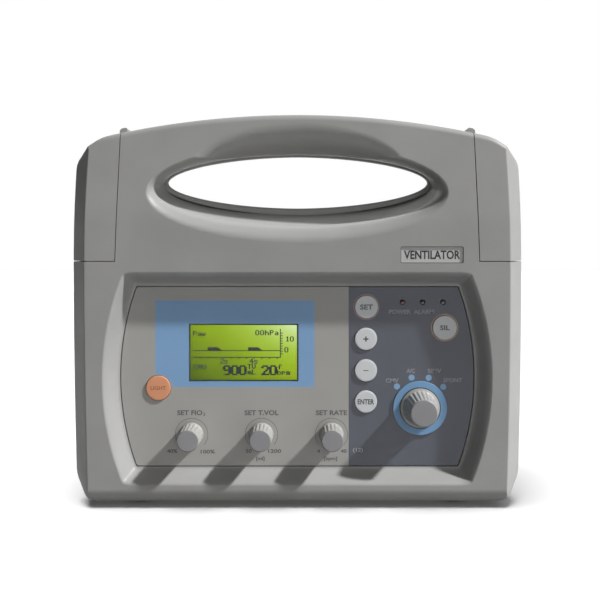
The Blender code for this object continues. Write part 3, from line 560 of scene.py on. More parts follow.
def front_body():
    """The whole outside of the front moulding, with a small round at the parting."""
    depths = [0.0, 0.05, 0.15, 0.3, 0.5, 0.75, 1.1, 1.7, 2.4, 3.2, 4.2, 5.4, 6.8, 8.3, 10.0]
    depths += [12.0, 14.4, 15.0, 15.6, 16.2, 16.8, 17.5, 25.0, PARTING - 0.6, PARTING - 0.15, PARTING]
    sections = []
    for d in depths:
        rim = max(d - (PARTING - 0.6), 0.0) ** 2
        low = quarter(d, BOTTOM_ROUND)
        sections.append((d, case_outline(strip_at(d), quarter(d, TOP_ROUND), low, rim)))
    return loft("front_body", sections)


print(f"the strip is {strip_at(8):.1f} mm out at 8 mm deep and {strip_at(20):.1f} mm at the side")

# %% [markdown]
# ## The recess round the control panel
# The panel sits at the bottom of a shallow recess. Its wall is an S: it leaves the face without
# an edge, slopes at the middle, and lands on the panel without an edge. A cosine gives just that
# curve. The outline has straight top and bottom edges, sides that are arcs of a large circle, and
# corners that are nearly sharp.

# %% The panel's outline and its recess
PX0, PX1, _, _, PZ0, PZ1 = span("control_panel")
PANEL_Z = (PZ0 + PZ1) / 2
PANEL_HALF_HIGH = (PZ1 - PZ0) / 2
PANEL_BULGE = 10.5
PANEL_HALF_TOP = (PX1 - PX0) / 2 - PANEL_BULGE
BEVEL = 10.3


def panel_outline(grow=0.0, corner=1.2):
    """The control panel's outline moved outwards by grow."""
    radius = (PANEL_HALF_HIGH**2 + PANEL_BULGE**2) / (2 * PANEL_BULGE)
    middle = PANEL_HALF_TOP + PANEL_BULGE - radius
    radius += grow
    reach = math.asin((PANEL_HALF_HIGH + grow) / radius)
    half = [(0.0, PANEL_Z - PANEL_HALF_HIGH - grow)]
    for i in range(29):
        turn = reach * (i / 14 - 1)
        half.append((middle + radius * math.cos(turn), PANEL_Z + radius * math.sin(turn)))
    half.append((0.0, PANEL_Z + PANEL_HALF_HIGH + grow))
    radii = [0, corner] + [0] * 27 + [corner, 0]
    return mirrored(rounded(half, radii, 6))


def recess(name, grow, reach):
    """The tool that cuts the recess: a mouth in front, the S-shaped wall, then the panel's seat."""
    sections = [(-2.0, panel_outline(BEVEL + grow + 0.02, 9.0))]
    steps = 18
    for i in range(steps + 1):
        share = i / steps
        depth = PANEL_D * (1 - math.cos(math.pi * share)) / 2
        width = BEVEL + (SEAM - BEVEL) * share + grow
        sections.append((depth + grow, panel_outline(width, 1.2 + 7.8 * (1 - share))))
    sections.append((reach, panel_outline(SEAM + grow, 1.2)))
    return loft(name, sections)


print(f"the panel is {PX1 - PX0:.1f} by {PZ1 - PZ0:.1f} mm")

# %% [markdown]
# ## The hand opening
# The opening is an oval tunnel with a rim that flares out widely at the front. Above it, the
# underside of the handle is hollowed for the fingers. The hollow rolls from the face down to the
# tunnel over the whole depth of the moulding, so it catches the light as one long soft curve.


# %% Tools for the opening
OPENING_FRONT = (201.2, 98.3, 32.6)
OPENING_THROAT = (204.0, 92.7, 23.6)
OPENING_PARTING = (209.0, 90.4, 19.8)
OPENING_REAR = (210.0, 88.9, 17.6)
THROAT_D = 18.0
SCOOP_Z, SCOOP_HALF = 215.0, 71.5
SCOOP_TOP, SCOOP_END_TOP = 247.4, 225.5
PINCH = 0.09
HANDLE_BACK, LIP = 46.0, 6.0


def blend_rows(a, b, share):
    return [p + (q - p) * share for p, q in zip(a, b)]


def opening(name, grow):
    z, wide, high = OPENING_FRONT
    sections = [(-2.0, oval(wide + grow, high + grow, z))]
    for rise, lean in quarter_turn(14):
        z, wide, high = blend_rows(OPENING_FRONT, OPENING_THROAT, rise)
        sections.append((THROAT_D * lean, oval(wide + grow, high + grow, z)))
    z, wide, high = OPENING_PARTING
    sections.append((PARTING + 3.0, oval(wide + grow, high + grow, z)))
    return loft(name, sections)


def finger_scoop(name, grow):
    base, height = SCOOP_END_TOP - SCOOP_Z, SCOOP_TOP - SCOOP_Z
    sections = [(-2.0, oval(SCOOP_HALF + grow, height + grow, SCOOP_Z))]
    for rise, lean in quarter_turn(20):
        wide = SCOOP_HALF - 14.0 * rise + grow
        high = base + (height - base) * (1 - rise) + grow
        sections.append(((PARTING + 3) * lean, oval(wide, high, SCOOP_Z)))
    return loft(name, sections)


def rear_opening(name, grow):
    z, wide, high = OPENING_REAR
    back = HANDLE_BACK
    rows = [(PARTING - 2, 1.6), (PARTING + SEAM, 1.6), (PARTING + SEAM + 0.3, 1.0)]
    rows += [(PARTING + SEAM + 0.8, 0.4), (PARTING + SEAM + 1.6, 0.0)]
    for rise, lean in quarter_turn(10):
        rows.append((back - LIP * (1 - rise), LIP * lean))
    rows.append((back + 2, LIP))
    sections = []
    for d, spread in rows:
        spread += grow
        sections.append((d, oval(wide + spread, high + spread, z, pinch=PINCH)))
    return loft(name, sections)


print(f"the finger scoop is {2 * SCOOP_HALF:.0f} mm wide")

# %% [markdown]
# ## The front moulding and its corner covers
# The two corner covers are separate snap-on mouldings. They are kept out of the same outside with
# a slanted prism, which leaves a seam of even width. Last, everything above the panel leans back
# by four degrees: a few level cuts give the flat face rows of points to bend along, and a smooth
# function moves them.

# %% Seams, catches and the lean
SEAM_TOP, SEAM_LOW = (114.9, 239.0), (117.8, 156.8)
CATCH_TIP, CATCH_ROOT, CATCH_OUTER = 112.4, 115.8, 117.6
NOTCH_TOP, NOTCH_SIDE = 262.0, 170.0
LEAN_FROM, LEAN = 180.0, math.tan(math.radians(4.0))


def corner_notch(gap, side):
    """The prism that a corner cover fills, drawn well past the top and the side of the case."""
    (xt, zt), (xl, zl) = SEAM_TOP, SEAM_LOW
    upper = xl - gap + (xt - xl) / (zt - zl) * (NOTCH_TOP - zl)
    outline = [(xl - gap, zl - gap), (NOTCH_SIDE, zl - gap), (NOTCH_SIDE, NOTCH_TOP)]
    outline.append((upper, NOTCH_TOP))
    return slab("notch", [(side * x, z) for x, z in outline], -3.0, PARTING + 3)


def cover_catch(side):
    """The catch on a corner cover, a small rounded hook over the edge of the front moulding."""
    low = arch_z(CATCH_TIP) + 0.4
    outline = [(CATCH_TIP, low), (CATCH_ROOT, low - 0.4), (CATCH_ROOT, low - 5.0)]
    outline += [(CATCH_OUTER, low - 5.0), (CATCH_OUTER, low + 1.6)]
    outline += [(CATCH_OUTER - 1.2, low + 3.0), (CATCH_TIP + 0.9, low + 3.6), (CATCH_TIP, low + 2.7)]
    outline = rounded([(side * x, z) for x, z in outline], 0.9, 3, closed=True)
    return loft("catch", [(15.0, outline), (27.0, outline)])


LEAN_LEVELS = (172, 176, 180, 184, 188, 192, 198, 210, 225, 240)
LEAN_EASE = 8.0


def lean_back(obj):
    """Cuts the shape at the levels, then bends it back. The bend eases in over a few millimetres."""
    bm = bmesh.new()
    bm.from_mesh(obj.data)
    for z in LEAN_LEVELS:
        everything = bm.verts[:] + bm.edges[:] + bm.faces[:]
        bmesh.ops.bisect_plane(bm, geom=everything, plane_co=at(0, 0, z), plane_no=(0, 0, 1))
    for vert in bm.verts:
        z = (vert.co.z - BASE_Z) / MM
        d = (vert.co.y - FACE_Y) / MM
        reach = max(z - LEAN_FROM, 0.0)
        bend = reach**2 / (2 * LEAN_EASE) if reach < LEAN_EASE else reach - LEAN_EASE / 2
        vert.co.y += bend * LEAN * min(max(1 - d / (PARTING - 2), 0.0), 1.0) * MM
    bm.to_mesh(obj.data)
    bm.free()


# %% Cut the front moulding
def front_cavity():
    hollow = loft(
        "front_cavity",
        [
            (WALL, case_outline(0.0, TOP_ROUND - 1, BOTTOM_ROUND - 3, WALL)),
            (STRIP_DEPTH, case_outline(STRIP, 0.0, 0.0, WALL)),
            (PARTING + 1, case_outline(STRIP, 0.0, 0.0, WALL)),
        ],
    )
    walls = [opening("opening_wall", WALL), finger_scoop("scoop_wall", WALL)]
    return cut(hollow, recess("recess_wall", WALL, PANEL_BACK + WALL), *walls)


def front_mouldings():
    outside = front_body()
    cavity = front_cavity()
    covers = []
    for side in (-1, 1):
        cover = boolean(copied(outside, "cover"), "INTERSECT", corner_notch(-SEAM / 2, side))
        covers.append(cut(cover, copied(cavity, "hollow")))
    x0, x1, _, _, z0, z1 = span("badge_plate")
    badge = rectangle(x0 - CLEAR, x1 + CLEAR, z0 - CLEAR, z1 + CLEAR, 1.2)
    cut(
        outside,
        corner_notch(SEAM / 2, -1),
        corner_notch(SEAM / 2, 1),
        recess("recess", 0.0, PANEL_BACK + CLEAR),
        opening("opening", 0.0),
        finger_scoop("scoop", 0.0),
        cavity,
        slab("panel_back", panel_outline(-4.5), PANEL_D, PANEL_D + 12),
        slab("badge_seat", badge, -2.0, span("badge_plate")[3] + CLEAR),
    )
    for part in (outside, *covers):
        lean_back(part)
    for side, cover in zip((-1, 1), covers):
        join(cover, cover_catch(side))
    return outside, covers


shell, covers = front_mouldings()
piece(shell, "front_moulding", CASE, stands_for=["front_shell"])
for cover, word in zip(covers, ("left", "right")):
    piece(cover, "corner_moulding_" + word, CASE, stands_for=["corner_cover_" + word])
print("front moulding:", len(shell.data.polygons), "faces")

# %% [markdown]
# ## The rear moulding
# Behind the parting line the handle carries on for a few millimetres, and below it the housing for
# the battery and the gas parts stands out to the back. The housing is a loft with a rounded rear
# edge, joined to the handle's plate. The bay, the battery seat, the filter seat, the screw wells
# and the louvres are cut from the finished outside together.


# %% Outline of the rear housing
BOX_TOP = 186.0
BOX_STEP, BOX_DRAFT, REAR_ROUND = 1.2, 1.5, 8.0
HANDLE_ROUND = 5.0
POST_RADIUS, BORE_RADIUS, SCREW_HOLE = 6.5, 4.3, 1.8
HEAD_HIGH = 2.3
LOUVRES, LOUVRE_STEP, LOUVRE_HIGH = 7, 8.0, 3.2
LOUVRE_X0, LOUVRE_X1, LOUVRE_Z = -112.0, -40.0, 112.0
SCREWS = [centre(f"case_screw_{i}") for i in range(1, 5)]


def box_outline(inset, low=0.0, corner=14.0):
    top = BOX_TOP - inset
    reach = face_half(top) + STRIP - inset
    half = [(0.0, low), (face_half(0.0) - inset, low)]
    for i in range(13):
        z = low + CORNER_RISE + (top - corner - low - CORNER_RISE) * i / 12
        half.append((face_half(z) + STRIP - inset, z))
    half.append((reach, top))
    half.append((0.0, top))
    radii = [0, 5.0, 6.0] + [0] * 12 + [corner, 0]
    return mirrored(rounded(half, radii, 7))


def bay_outline(node_name, grow, radius):
    x0, x1, _, _, z0, z1 = span(node_name)
    return rectangle(x0 - grow, x1 + grow, z0 - grow, z1 + grow, radius)


# %% Cut the rear moulding
def rear_moulding():
    start = PARTING + SEAM
    plate = []
    for d, inset in ((start, 0.36), (start + 0.45, 0.09), (start + 0.6, 0.0)):
        plate.append((d, case_outline(STRIP, inset=inset)))
    for rise, lean in quarter_turn(8):
        depth = HANDLE_BACK - HANDLE_ROUND * (1 - rise)
        plate.append((depth, case_outline(STRIP, inset=HANDLE_ROUND * lean)))
    outside = loft("rear_moulding", plate)
    box = [(HANDLE_BACK - 7.0, box_outline(BOX_STEP))]
    for rise, lean in quarter_turn(9):
        inset, depth = REAR_ROUND * lean, CASE_DEPTH - REAR_ROUND * (1 - rise)
        box.append((depth, box_outline(BOX_STEP + BOX_DRAFT + inset, inset)))
    join(outside, loft("rear_box", box))
    return outside


def rear_cavity():
    cavity = slab("cavity", case_outline(STRIP, inset=WALL), PARTING - 1, HANDLE_BACK - WALL)
    inner = BOX_STEP + BOX_DRAFT + WALL
    sections = [
        (PARTING - 2, box_outline(BOX_STEP + WALL + 0.4, WALL + 0.4)),
        (CASE_DEPTH - REAR_ROUND, box_outline(inner, WALL + 0.4)),
        (CASE_DEPTH - WALL, box_outline(inner + 5, WALL + 5)),
    ]
    join(cavity, loft("cavity_box", sections))
    bay_floor = span("connector_plate")[2]
    battery_floor = span("battery_pack")[2] - 1
    return cut(
        cavity,
        rear_opening("tunnel_wall", WALL),
        slab("bay_wall", bay_outline("connector_plate", 4, 5), bay_floor - WALL, CASE_DEPTH),
        slab("battery_wall", bay_outline("battery_cover", 3.5, 4), battery_floor - WALL, CASE_DEPTH),
        *[disc("post", x, z, POST_RADIUS, PARTING - 4, CASE_DEPTH + 2, 32) for x, z in SCREWS],
    )


def rear_cutters():
    """Everything that is cut through the rear moulding's walls."""
    bay_floor = span("connector_plate")[2] - CLEAR
    battery_floor = span("battery_pack")[2] - 1
    fx, fz = centre("filter_cover")
    left, right, seat = span("filter_cover")[:3]
    radius = (right - left) / 2 + CLEAR
    back = CASE_DEPTH + 2
    tools = [
        rear_opening("tunnel", 0.0),
        slab("bay", bay_outline("connector_plate", 1.0, 2.5), bay_floor, back),
        slab("bay_back", bay_outline("connector_plate", -7.0, 2.5), bay_floor - 8, CASE_DEPTH),
        slab("cover_seat", bay_outline("battery_cover", 0.5, 2.5), battery_floor, back),
        disc("filter_hole", fx, fz, radius - 3, CASE_DEPTH - 9, back),
        disc("filter_seat", fx, fz, radius, seat - CLEAR, back, 72),
    ]
    head = span("case_screw_1")[3] - HEAD_HIGH
    well = [(0, head - CLEAR), (BORE_RADIUS, head - CLEAR), (BORE_RADIUS, CASE_DEPTH - 0.6)]
    well += [(BORE_RADIUS + 2.6, back), (0, back)]
    for x, z in SCREWS:
        tools.append(turned("well", well, x, z, 40))
        tools.append(disc("screw_hole", x, z, SCREW_HOLE, PARTING - 4, head + 2, 20))
    for i in range(LOUVRES):
        z = LOUVRE_Z + i * LOUVRE_STEP
        slot = rectangle(LOUVRE_X0, LOUVRE_X1, z, z + LOUVRE_HIGH, 1.55)
        tools.append(slab("louvre", slot, CASE_DEPTH - 9, back))
    return tools


rear = rear_moulding()
cut(rear, rear_cavity(), *rear_cutters())
piece(rear, "rear_moulding", CASE, stands_for=["rear_shell"])
print("rear moulding:", len(rear.data.polygons), "faces")

# %% [markdown]
# ## The label plate
# A light plate with rounded corners lies in a shallow seat at the upper right. A generic word
# stands on it where a maker would put a name. Blender's text object makes the letters: it is turned
# into a mesh first, then scaled to the size that is wanted and stood up to face the front.


# %% Lettering
LETTERS = 0.03
LETTER_WEIGHT = 0.028


def lettering(name, text, x, z, wide, high, front):
    """Raised letters that fill wide by high, centred on x and z, standing just out of front."""
    curve = bpy.data.curves.new(name, "FONT")
    curve.body = text
    curve.extrude = 0.5
    curve.offset = LETTER_WEIGHT
    curve.resolution_u = 3
    drawn = bpy.data.objects.new(name, curve)
    bpy.context.scene.collection.objects.link(drawn)
    graph = bpy.context.evaluated_depsgraph_get()
    bm = bmesh.new()
    bm.from_mesh(bpy.data.meshes.new_from_object(drawn.evaluated_get(graph)))
    bpy.data.objects.remove(drawn)
    xs = [v.co.x for v in bm.verts]
    ys = [v.co.y for v in bm.verts]
    middle = Vector(((min(xs) + max(xs)) / 2, (min(ys) + max(ys)) / 2, 0))
    size = Vector((wide / (max(xs) - min(xs)), high / (max(ys) - min(ys)), 2 * LETTERS)) * MM
    bmesh.ops.translate(bm, vec=-middle, verts=bm.verts)
    bmesh.ops.scale(bm, vec=size, verts=bm.verts)
    bmesh.ops.rotate(bm, matrix=Matrix.Rotation(math.pi / 2, 3, "X"), verts=bm.verts)
    bmesh.ops.translate(bm, vec=at(x, front, z), verts=bm.verts)
    return solid(name, bm)


def together(name, parts):
    """Puts several closed shapes that don't touch into one object."""
    bm = bmesh.new()
    for part in parts:
        bm.from_mesh(part.data)
        bpy.data.objects.remove(part)
    return solid(name, bm)


# %% The plate and its word
x0, x1, d0, d1, z0, z1 = span("badge_plate")
LABEL_D = d0 + 0.55
rows = [(LABEL_D, 0.2, 1.0), (LABEL_D + 0.08, 0.06, 1.1), (LABEL_D + 0.2, 0.02, 1.2), (d1, 0.02, 1.2)]
badge = loft("label_plate", [(d, rectangle(x0 + i, x1 - i, z0 + i, z1 - i, r)) for d, i, r in rows])
LABEL = ("aluminium", plastic("label_film", (0.52, 0.52, 0.51), 0.42, 0.25, 0.004, 0.02))
INK = plastic("dark_ink", (0.02, 0.02, 0.024), 0.5, 0.3, 0.002, 0.1)
piece(badge, "label_plate", LABEL, stands_for=["badge_plate"])
word = lettering("label_word", "VENTILATOR", (x0 + x1) / 2, (z0 + z1) / 2, 36.4, 5.7, LABEL_D)
piece(word, "label_word", ("aluminium", INK))
print(f"label plate {x1 - x0:.1f} by {z1 - z0:.1f} mm")

# %% [markdown]
# ## The control panel
# The panel is a stiff plate under one printed film. The plate is cut for the display, the dials'
# bushings, the keys and the lamps. The film's colours are masks in its material: a warm grey field,
# a sky blue block round the display, and a dark slate field to the right of a straight edge. A mask
# group with four edges, placed twice, draws both.


# %% Cut the plate
DIALS = {name: centre(name + "_knob") for name in ("oxygen", "volume", "rate", "mode")}
KEYS = {name: centre(name + "_key") for name in ("light", "set", "plus", "minus", "enter", "silence")}
LAMPS = {name: centre(name + "_lamp") for name in ("power", "alarm", "battery")}
WINDOW = span("display_window")
KEY_FLANGE, KEY_GAP = 0.9, 0.35
BUSHING_HOLE, LAMP_HOLE = 4.7, 1.9


def key_radius(name):
    """The radius of a key's cap, which is less than that of the flange behind the plate."""
    x0, x1 = span(name + "_key")[:2]
    return (x1 - x0) / 2 - KEY_FLANGE


def panel_plate():
    rim = [(PANEL_D + 0.02, -0.22), (PANEL_D + 0.08, -0.1), (PANEL_D + 0.2, 0.0), (PANEL_BACK, 0.0)]
    plate = loft("panel_plate", [(d, panel_outline(grow - 0.02)) for d, grow in rim])
    through = (PANEL_D - 2, PANEL_BACK + 2)
    x0, x1, _, _, z0, z1 = WINDOW
    view = rectangle(x0 - CLEAR, x1 + CLEAR, z0 - CLEAR, z1 + CLEAR, 0.6)
    tools = [slab("window", view, *through)]
    tools += [disc("dial_hole", x, z, BUSHING_HOLE, *through) for x, z in DIALS.values()]
    tools += [disc("key_hole", *KEYS[n], key_radius(n) + KEY_GAP, *through, 72) for n in KEYS]
    tools += [disc("lamp_hole", x, z, LAMP_HOLE, *through, 32) for x, z in LAMPS.values()]
    return cut(plate, *tools)


# %% The printed film
def build_field_mask():
    """1 inside four edges given in metres, 0 outside, with edges as sharp as Soft."""
    edges = ("Left", "Right", "Low", "High")
    inputs = [(word, 0.0) for word in edges] + [("Soft", 0.0002)]
    group, given, out = new_group("field_mask", inputs, [("Mask", "NodeSocketFloat")])
    place = node(group, "ShaderNodeSeparateXYZ", {"Vector": object_coords(group)})
    mask = None
    for word, axis, sign in zip(edges, "XXZZ", (1, -1, 1, -1)):
        inside = math_node(group, "SUBTRACT", place.outputs[axis], given.outputs[word])
        inside = math_node(group, "MULTIPLY", inside, sign)
        inside = math_node(group, "DIVIDE", inside, given.outputs["Soft"])
        inside = math_node(group, "ADD", inside, 0.5, clamp=True)
        mask = inside if mask is None else math_node(group, "MULTIPLY", mask, inside)
    group.links.new(mask, out.inputs["Mask"])
    return group


FIELD_MASK = build_field_mask()
FIELD_SOFT = 0.25


def field(tree, x0, x1, z0, z1):
    """A field mask with its edges in case coordinates."""
    low, high = at(x0, 0, z0), at(x1, 0, z1)
    values = {"Left": low.x, "Right": high.x, "Low": low.z, "High": high.z, "Soft": FIELD_SOFT * MM}
    made = node(tree, "ShaderNodeGroup", node_tree=FIELD_MASK)
    for key, value in values.items():
        made.inputs[key].default_value = value
    return made.outputs["Mask"]


def mixed(tree, factor, a, b):
    """Mixes two colours, each a socket or an (r, g, b, 1) value."""
    made = node(tree, "ShaderNodeMix", {"Factor": factor}, data_type="RGBA")
    for socket, value in ((6, a), (7, b)):
        if isinstance(value, bpy.types.NodeSocket):
            tree.links.new(value, made.inputs[socket])
        else:
            made.inputs[socket].default_value = value
    return made.outputs[2]


FIELD_GREY = (0.375, 0.37, 0.352)
FIELD_BLUE = (0.215, 0.385, 0.625)
FIELD_SLATE = (0.088, 0.096, 0.125)
BLUE_BLOCK = (-93.5, 11.2, 74.0, 130.8)
SLATE_BLOCK = (33.7, 200.0, -10.0, 200.0)


def printed_film():
    made, tree, shader = new_material("printed_film", 0.4)
    drift = surface(tree, shader, 0.3, 0.004, 0.4)
    slate = field(tree, *SLATE_BLOCK)
    blue = field(tree, *BLUE_BLOCK)
    inks = [ramp(tree, drift, shades(c, 0.03)) for c in (FIELD_GREY, FIELD_BLUE, FIELD_SLATE)]
    colour = mixed(tree, blue, inks[0], inks[1])
    tree.links.new(mixed(tree, slate, colour, inks[2]), shader.inputs["Base Color"])
    shine = between(tree, slate, 0.42, 0.24)
    tree.links.new(shine, shader.inputs["Roughness"])
    return made


FILM = ("panel_grey", printed_film())
plate = piece(panel_plate(), "panel_plate", FILM, stands_for=["control_panel"])
print("panel plate:", len(plate.data.polygons), "faces")

# %% [markdown]
# ## Print and legends
# Print is a few hundredths of a millimetre thick, so the rings, dots and words are real shapes
# that thick, set a little into the film. Words in one colour are one object, because they were
# printed in one pass of a screen.


# %% Rings, dots and words
PRINT = (PANEL_D - 0.01, PANEL_D + 0.03)


def printed_arc(x, z, inner, outer, start, turn):
    """A flat printed arc from the angle start, counted anticlockwise from the right."""
    angles = [math.radians(start + turn * i / 64) for i in range(65)]
    outline = [(x + outer * math.cos(a), z + outer * math.sin(a)) for a in angles]
    outline += [(x + inner * math.cos(a), z + inner * math.sin(a)) for a in reversed(angles)]
    return slab("arc", outline, *PRINT)


def printed_ring(x, z, inner, outer):
    near, far = PRINT
    return turned("ring", [(inner, near), (outer, near), (outer, far), (inner, far)], x, z, 96)


def words(rows):
    """Panel lettering from rows of (text, x, z, width, height)."""
    return [lettering("word", *row, PANEL_D) for row in rows]


ox, oz = DIALS["oxygen"]
vx, rx = DIALS["volume"][0], DIALS["rate"][0]
mx, mz = DIALS["mode"]
TITLE_Z, SCALE_Z, UNIT_Z = 57.0, 31.8, 26.6
dark = words(
    [
        ("SET FIO", ox - 1.2, TITLE_Z, 16.6, 3.3),
        ("2", ox + 8.3, TITLE_Z - 1.0, 1.3, 2.0),
        ("SET T.VOL", vx, TITLE_Z, 22.4, 3.3),
        ("SET RATE", rx, TITLE_Z, 20.6, 3.3),
        ("40%", ox - 12.8, SCALE_Z, 6.8, 2.5),
        ("100%", ox + 10.6, SCALE_Z - 0.4, 9.4, 2.5),
        ("50", vx - 8.4, SCALE_Z, 4.0, 2.5),
        ("1200", vx + 8.6, SCALE_Z, 8.6, 2.5),
        ("[ml]", vx - 0.8, UNIT_Z, 5.6, 3.0),
        ("4", rx - 8.4, SCALE_Z, 1.9, 2.5),
        ("40", rx + 8.0, SCALE_Z, 4.0, 2.5),
        ("[bpm]", rx - 0.6, UNIT_Z, 8.8, 3.0),
    ]
)
ARC_INNER, ARC_OUTER, ARC_START, ARC_TURN = 10.5, 10.8, -40, 260
for x in (ox, vx, rx):
    dark.append(printed_arc(x, oz, ARC_INNER, ARC_OUTER, ARC_START, ARC_TURN))
pale = words(
    [
        ("(12)", 39.8, SCALE_Z + 0.4, 6.6, 3.4),
        ("POWER  ALARM", 75.0, 123.4, 29.6, 2.9),
        ("CMV", mx - 18.3, 78.2, 8.6, 2.8),
        ("A/C", mx - 6.0, 84.6, 5.6, 2.8),
        ("SIMV", mx + 9.6, 84.6, 9.2, 2.8),
        ("SPONT", mx + 21.6, 78.4, 12.4, 2.8),
    ]
)
DOT_REACH, DOT_RADIUS = 20.7, 2.0
FIRST_DOT, DOT_STEP = 137.0, 31.67
dots = []
for i in range(4):
    angle = math.radians(FIRST_DOT - DOT_STEP * i)
    x, z = mx + DOT_REACH * math.cos(angle), mz + DOT_REACH * math.sin(angle)
    dots.append(disc("dot", x, z, DOT_RADIUS, *PRINT, 32))

INK_GREY = plastic("grey_ink", (0.125, 0.12, 0.12), 0.5, 0.3, 0.002, 0.1)
INK_PALE = plastic("pale_ink", (0.30, 0.31, 0.34), 0.5, 0.3, 0.002, 0.1)
INK_BLUE = plastic("blue_ink", (0.24, 0.42, 0.64), 0.45, 0.3, 0.002, 0.05)
INK_AMBER = plastic("amber_ink", (0.60, 0.40, 0.26), 0.5, 0.3, 0.002, 0.1)
INK_ROSE = plastic("rose_ink", (0.40, 0.27, 0.26), 0.5, 0.3, 0.002, 0.1)
piece(together("print_dark", dark), "print_dark", ("panel_grey", INK_GREY))
piece(together("print_pale", pale), "print_pale", ("panel_grey", INK_PALE))
piece(together("print_dots", dots), "print_dots", ("panel_grey", INK_BLUE))
for name, ink in (("set", INK_ROSE), ("silence", INK_AMBER)):
    inner = key_radius(name) + KEY_GAP + 0.03
    ring = printed_ring(*KEYS[name], inner, inner + 0.6)
    piece(ring, f"print_ring_{name}", ("panel_grey", ink))
print("words and rings:", len(dark) + len(pale) + len(dots) + 2)

# %% [markdown]
# ## Keys, lamps and the blue ring
# These are all turned shapes. A key's cap is a shallow dome with a soft rim, and behind the plate
# it has the flange that keeps it in and the stem that presses its switch. Its legend rides with it.
# The caps stand a little lower than their plain solids, so the shadows they cast are short.


# %% Keys
KEY_SUNK = 0.45
STEM_LONG = 2.4


def key_cap(name):
    x, z = KEYS[name]
    radius = key_radius(name)
    front, back = span(name + "_key")[2:4]
    front += KEY_SUNK
    rim = front + 1.15
    outline = [(0, front), (radius * 0.4, front + 0.005), (radius * 0.75, front + 0.02)]
    outline += rounded([(radius * 0.86, front + 0.04), (radius, front + 0.12), (radius, rim)], 0.9, 8)
    flange, stem = radius + KEY_FLANGE, back - STEM_LONG
    outline += [(radius, stem - 1.0), (flange, stem - 1.0), (flange, stem)]
    outline += [(2.0, stem), (2.0, back), (0, back)]
    return turned(name, outline, x, z, 96)


LEGENDS = {
    "light": ("LIGHT", 10.2, 2.6),
    "set": ("SET", 8.4, 3.5),
    "plus": ("+", 3.4, 3.4),
    "minus": ("–", 3.4, 0.5),
    "enter": ("ENTER", 10.8, 3.4),
    "silence": ("SIL", 6.4, 3.3),
}
LEGEND_INK = plastic("legend_ink", (0.075, 0.08, 0.09), 0.5, 0.3, 0.002, 0.1)
LIGHT_INK = plastic("light_key_ink", (0.42, 0.16, 0.085), 0.5, 0.3, 0.002, 0.1)
for name, (text, wide, high) in LEGENDS.items():
    orange = name == "light"
    plastic_of_cap = KEY_ORANGE if orange else KEY
    piece(key_cap(name), name + "_cap", plastic_of_cap, name + "_button", [name + "_key"], 40)
    front = span(name + "_key")[2] + KEY_SUNK
    legend = lettering("legend", text, *KEYS[name], wide, high, front + 0.005)
    finish = ("key_orange", LIGHT_INK) if orange else ("key_white", LEGEND_INK)
    piece(legend, name + "_legend", finish, name + "_button")
print("key caps:", len(LEGENDS))


# %% Lamps and ring
def lamp_material(name, colour):
    made, tree, shader = new_material(name, 0.16, specular=0.6, coat=0.6)
    drift = surface(tree, shader, 0.6, 0.003, 0.16, 6.0)
    drifting(tree, shader, drift, shades(colour, 0.2))
    return made


LENS_RADIUS = 1.6
LAMP_COLOURS = {
    "power": (0.055, 0.006, 0.008),
    "alarm": (0.006, 0.008, 0.008),
    "battery": (0.05, 0.052, 0.06),
}
for name, colour in LAMP_COLOURS.items():
    x, z = LAMPS[name]
    front, back = span(name + "_lamp")[2:4]
    turns = [math.radians(a) for a in range(0, 91, 10)]
    dome = [(LENS_RADIUS * math.sin(a), front + 1.0 - math.cos(a)) for a in turns]
    lens = turned("lens", [*dome, (LENS_RADIUS, back), (0, back)], x, z, 40)
    piece(lens, name + "_lens", ("lamp_red", lamp_material(name + "_lamp_tint", colour)),
          stands_for=[name + "_lamp"], smooth=50)

front, back = span("mode_ring")[2:4]
INNER, OUTER = 13.45, 17.75
profile = rounded([(INNER, back), (INNER, front), (OUTER, front), (OUTER, back)], [0, 0.3, 0.35, 0], 5)
piece(turned("ring", profile, mx, mz, 144), "mode_dial_ring", BLUE, stands_for=["mode_ring"])
print("lamps:", len(LAMP_COLOURS), "and one ring")

# %% [markdown]
# ## The dials
# A dial's grip has shallow flutes that are deepest in the middle of its height and run out before
# the rim. One outline function gives the fluted circle from a cosine, so every ring of the loft has
# the same number of points. The cap is a separate flat disc of darker grey, pressed into the top.


# %% Shape of a dial
POINTS_TO_A_FLUTE = 8
CAP_THICK = 1.7


def fluted(radius, flute, count, x, z):
    outline = []
    for i in range(POINTS_TO_A_FLUTE * count):
        turn = 2 * math.pi * i / (POINTS_TO_A_FLUTE * count)
        groove = (0.5 + 0.5 * math.cos(count * turn)) ** 1.6
        size = radius - flute * groove
        outline.append((x + size * math.cos(turn), z + size * math.sin(turn)))
    return outline


def dial_body(x, z, front, base, sizes, count):
    """sizes: grip radius at the skirt, grip radius at the top, skirt radius, radius of the cap."""
    low, top, skirt, cap = sizes
    rows = [(base, skirt - 0.15, 0), (base - 0.2, skirt, 0), (base - 1.0, skirt, 0)]
    rows += [(base - 1.5, skirt - 0.15, 0), (base - 2.0, low + 0.3, 0), (base - 2.4, low + 0.06, 0.15)]
    for i in range(9):
        share = i / 8
        d = base - 3.0 - (base - 3.0 - front - 2.2) * share
        rows.append((d, low + (top - low) * share, 0.55 - 0.12 * share))
    rows += [(front + 1.5, top - 0.03, 0.3), (front + 0.9, top - 0.12, 0.14)]
    rows += [(front + 0.5, top - 0.26, 0.04), (front + 0.3, cap + 0.16, 0), (front + 0.24, cap + 0.12, 0)]
    body = loft("dial", [(d, fluted(r, f, count, x, z)) for d, r, f in rows])
    return cut(
        body,
        disc("nut_room", x, z, min(6.5, skirt - 1.4), base - 3.5, base + 2),
        disc("shaft_room", x, z, 3.3, front + 6, base + 2),
        disc("cap_seat", x, z, cap + 0.1, front - 2, front + CAP_THICK + CLEAR, 72),
    )


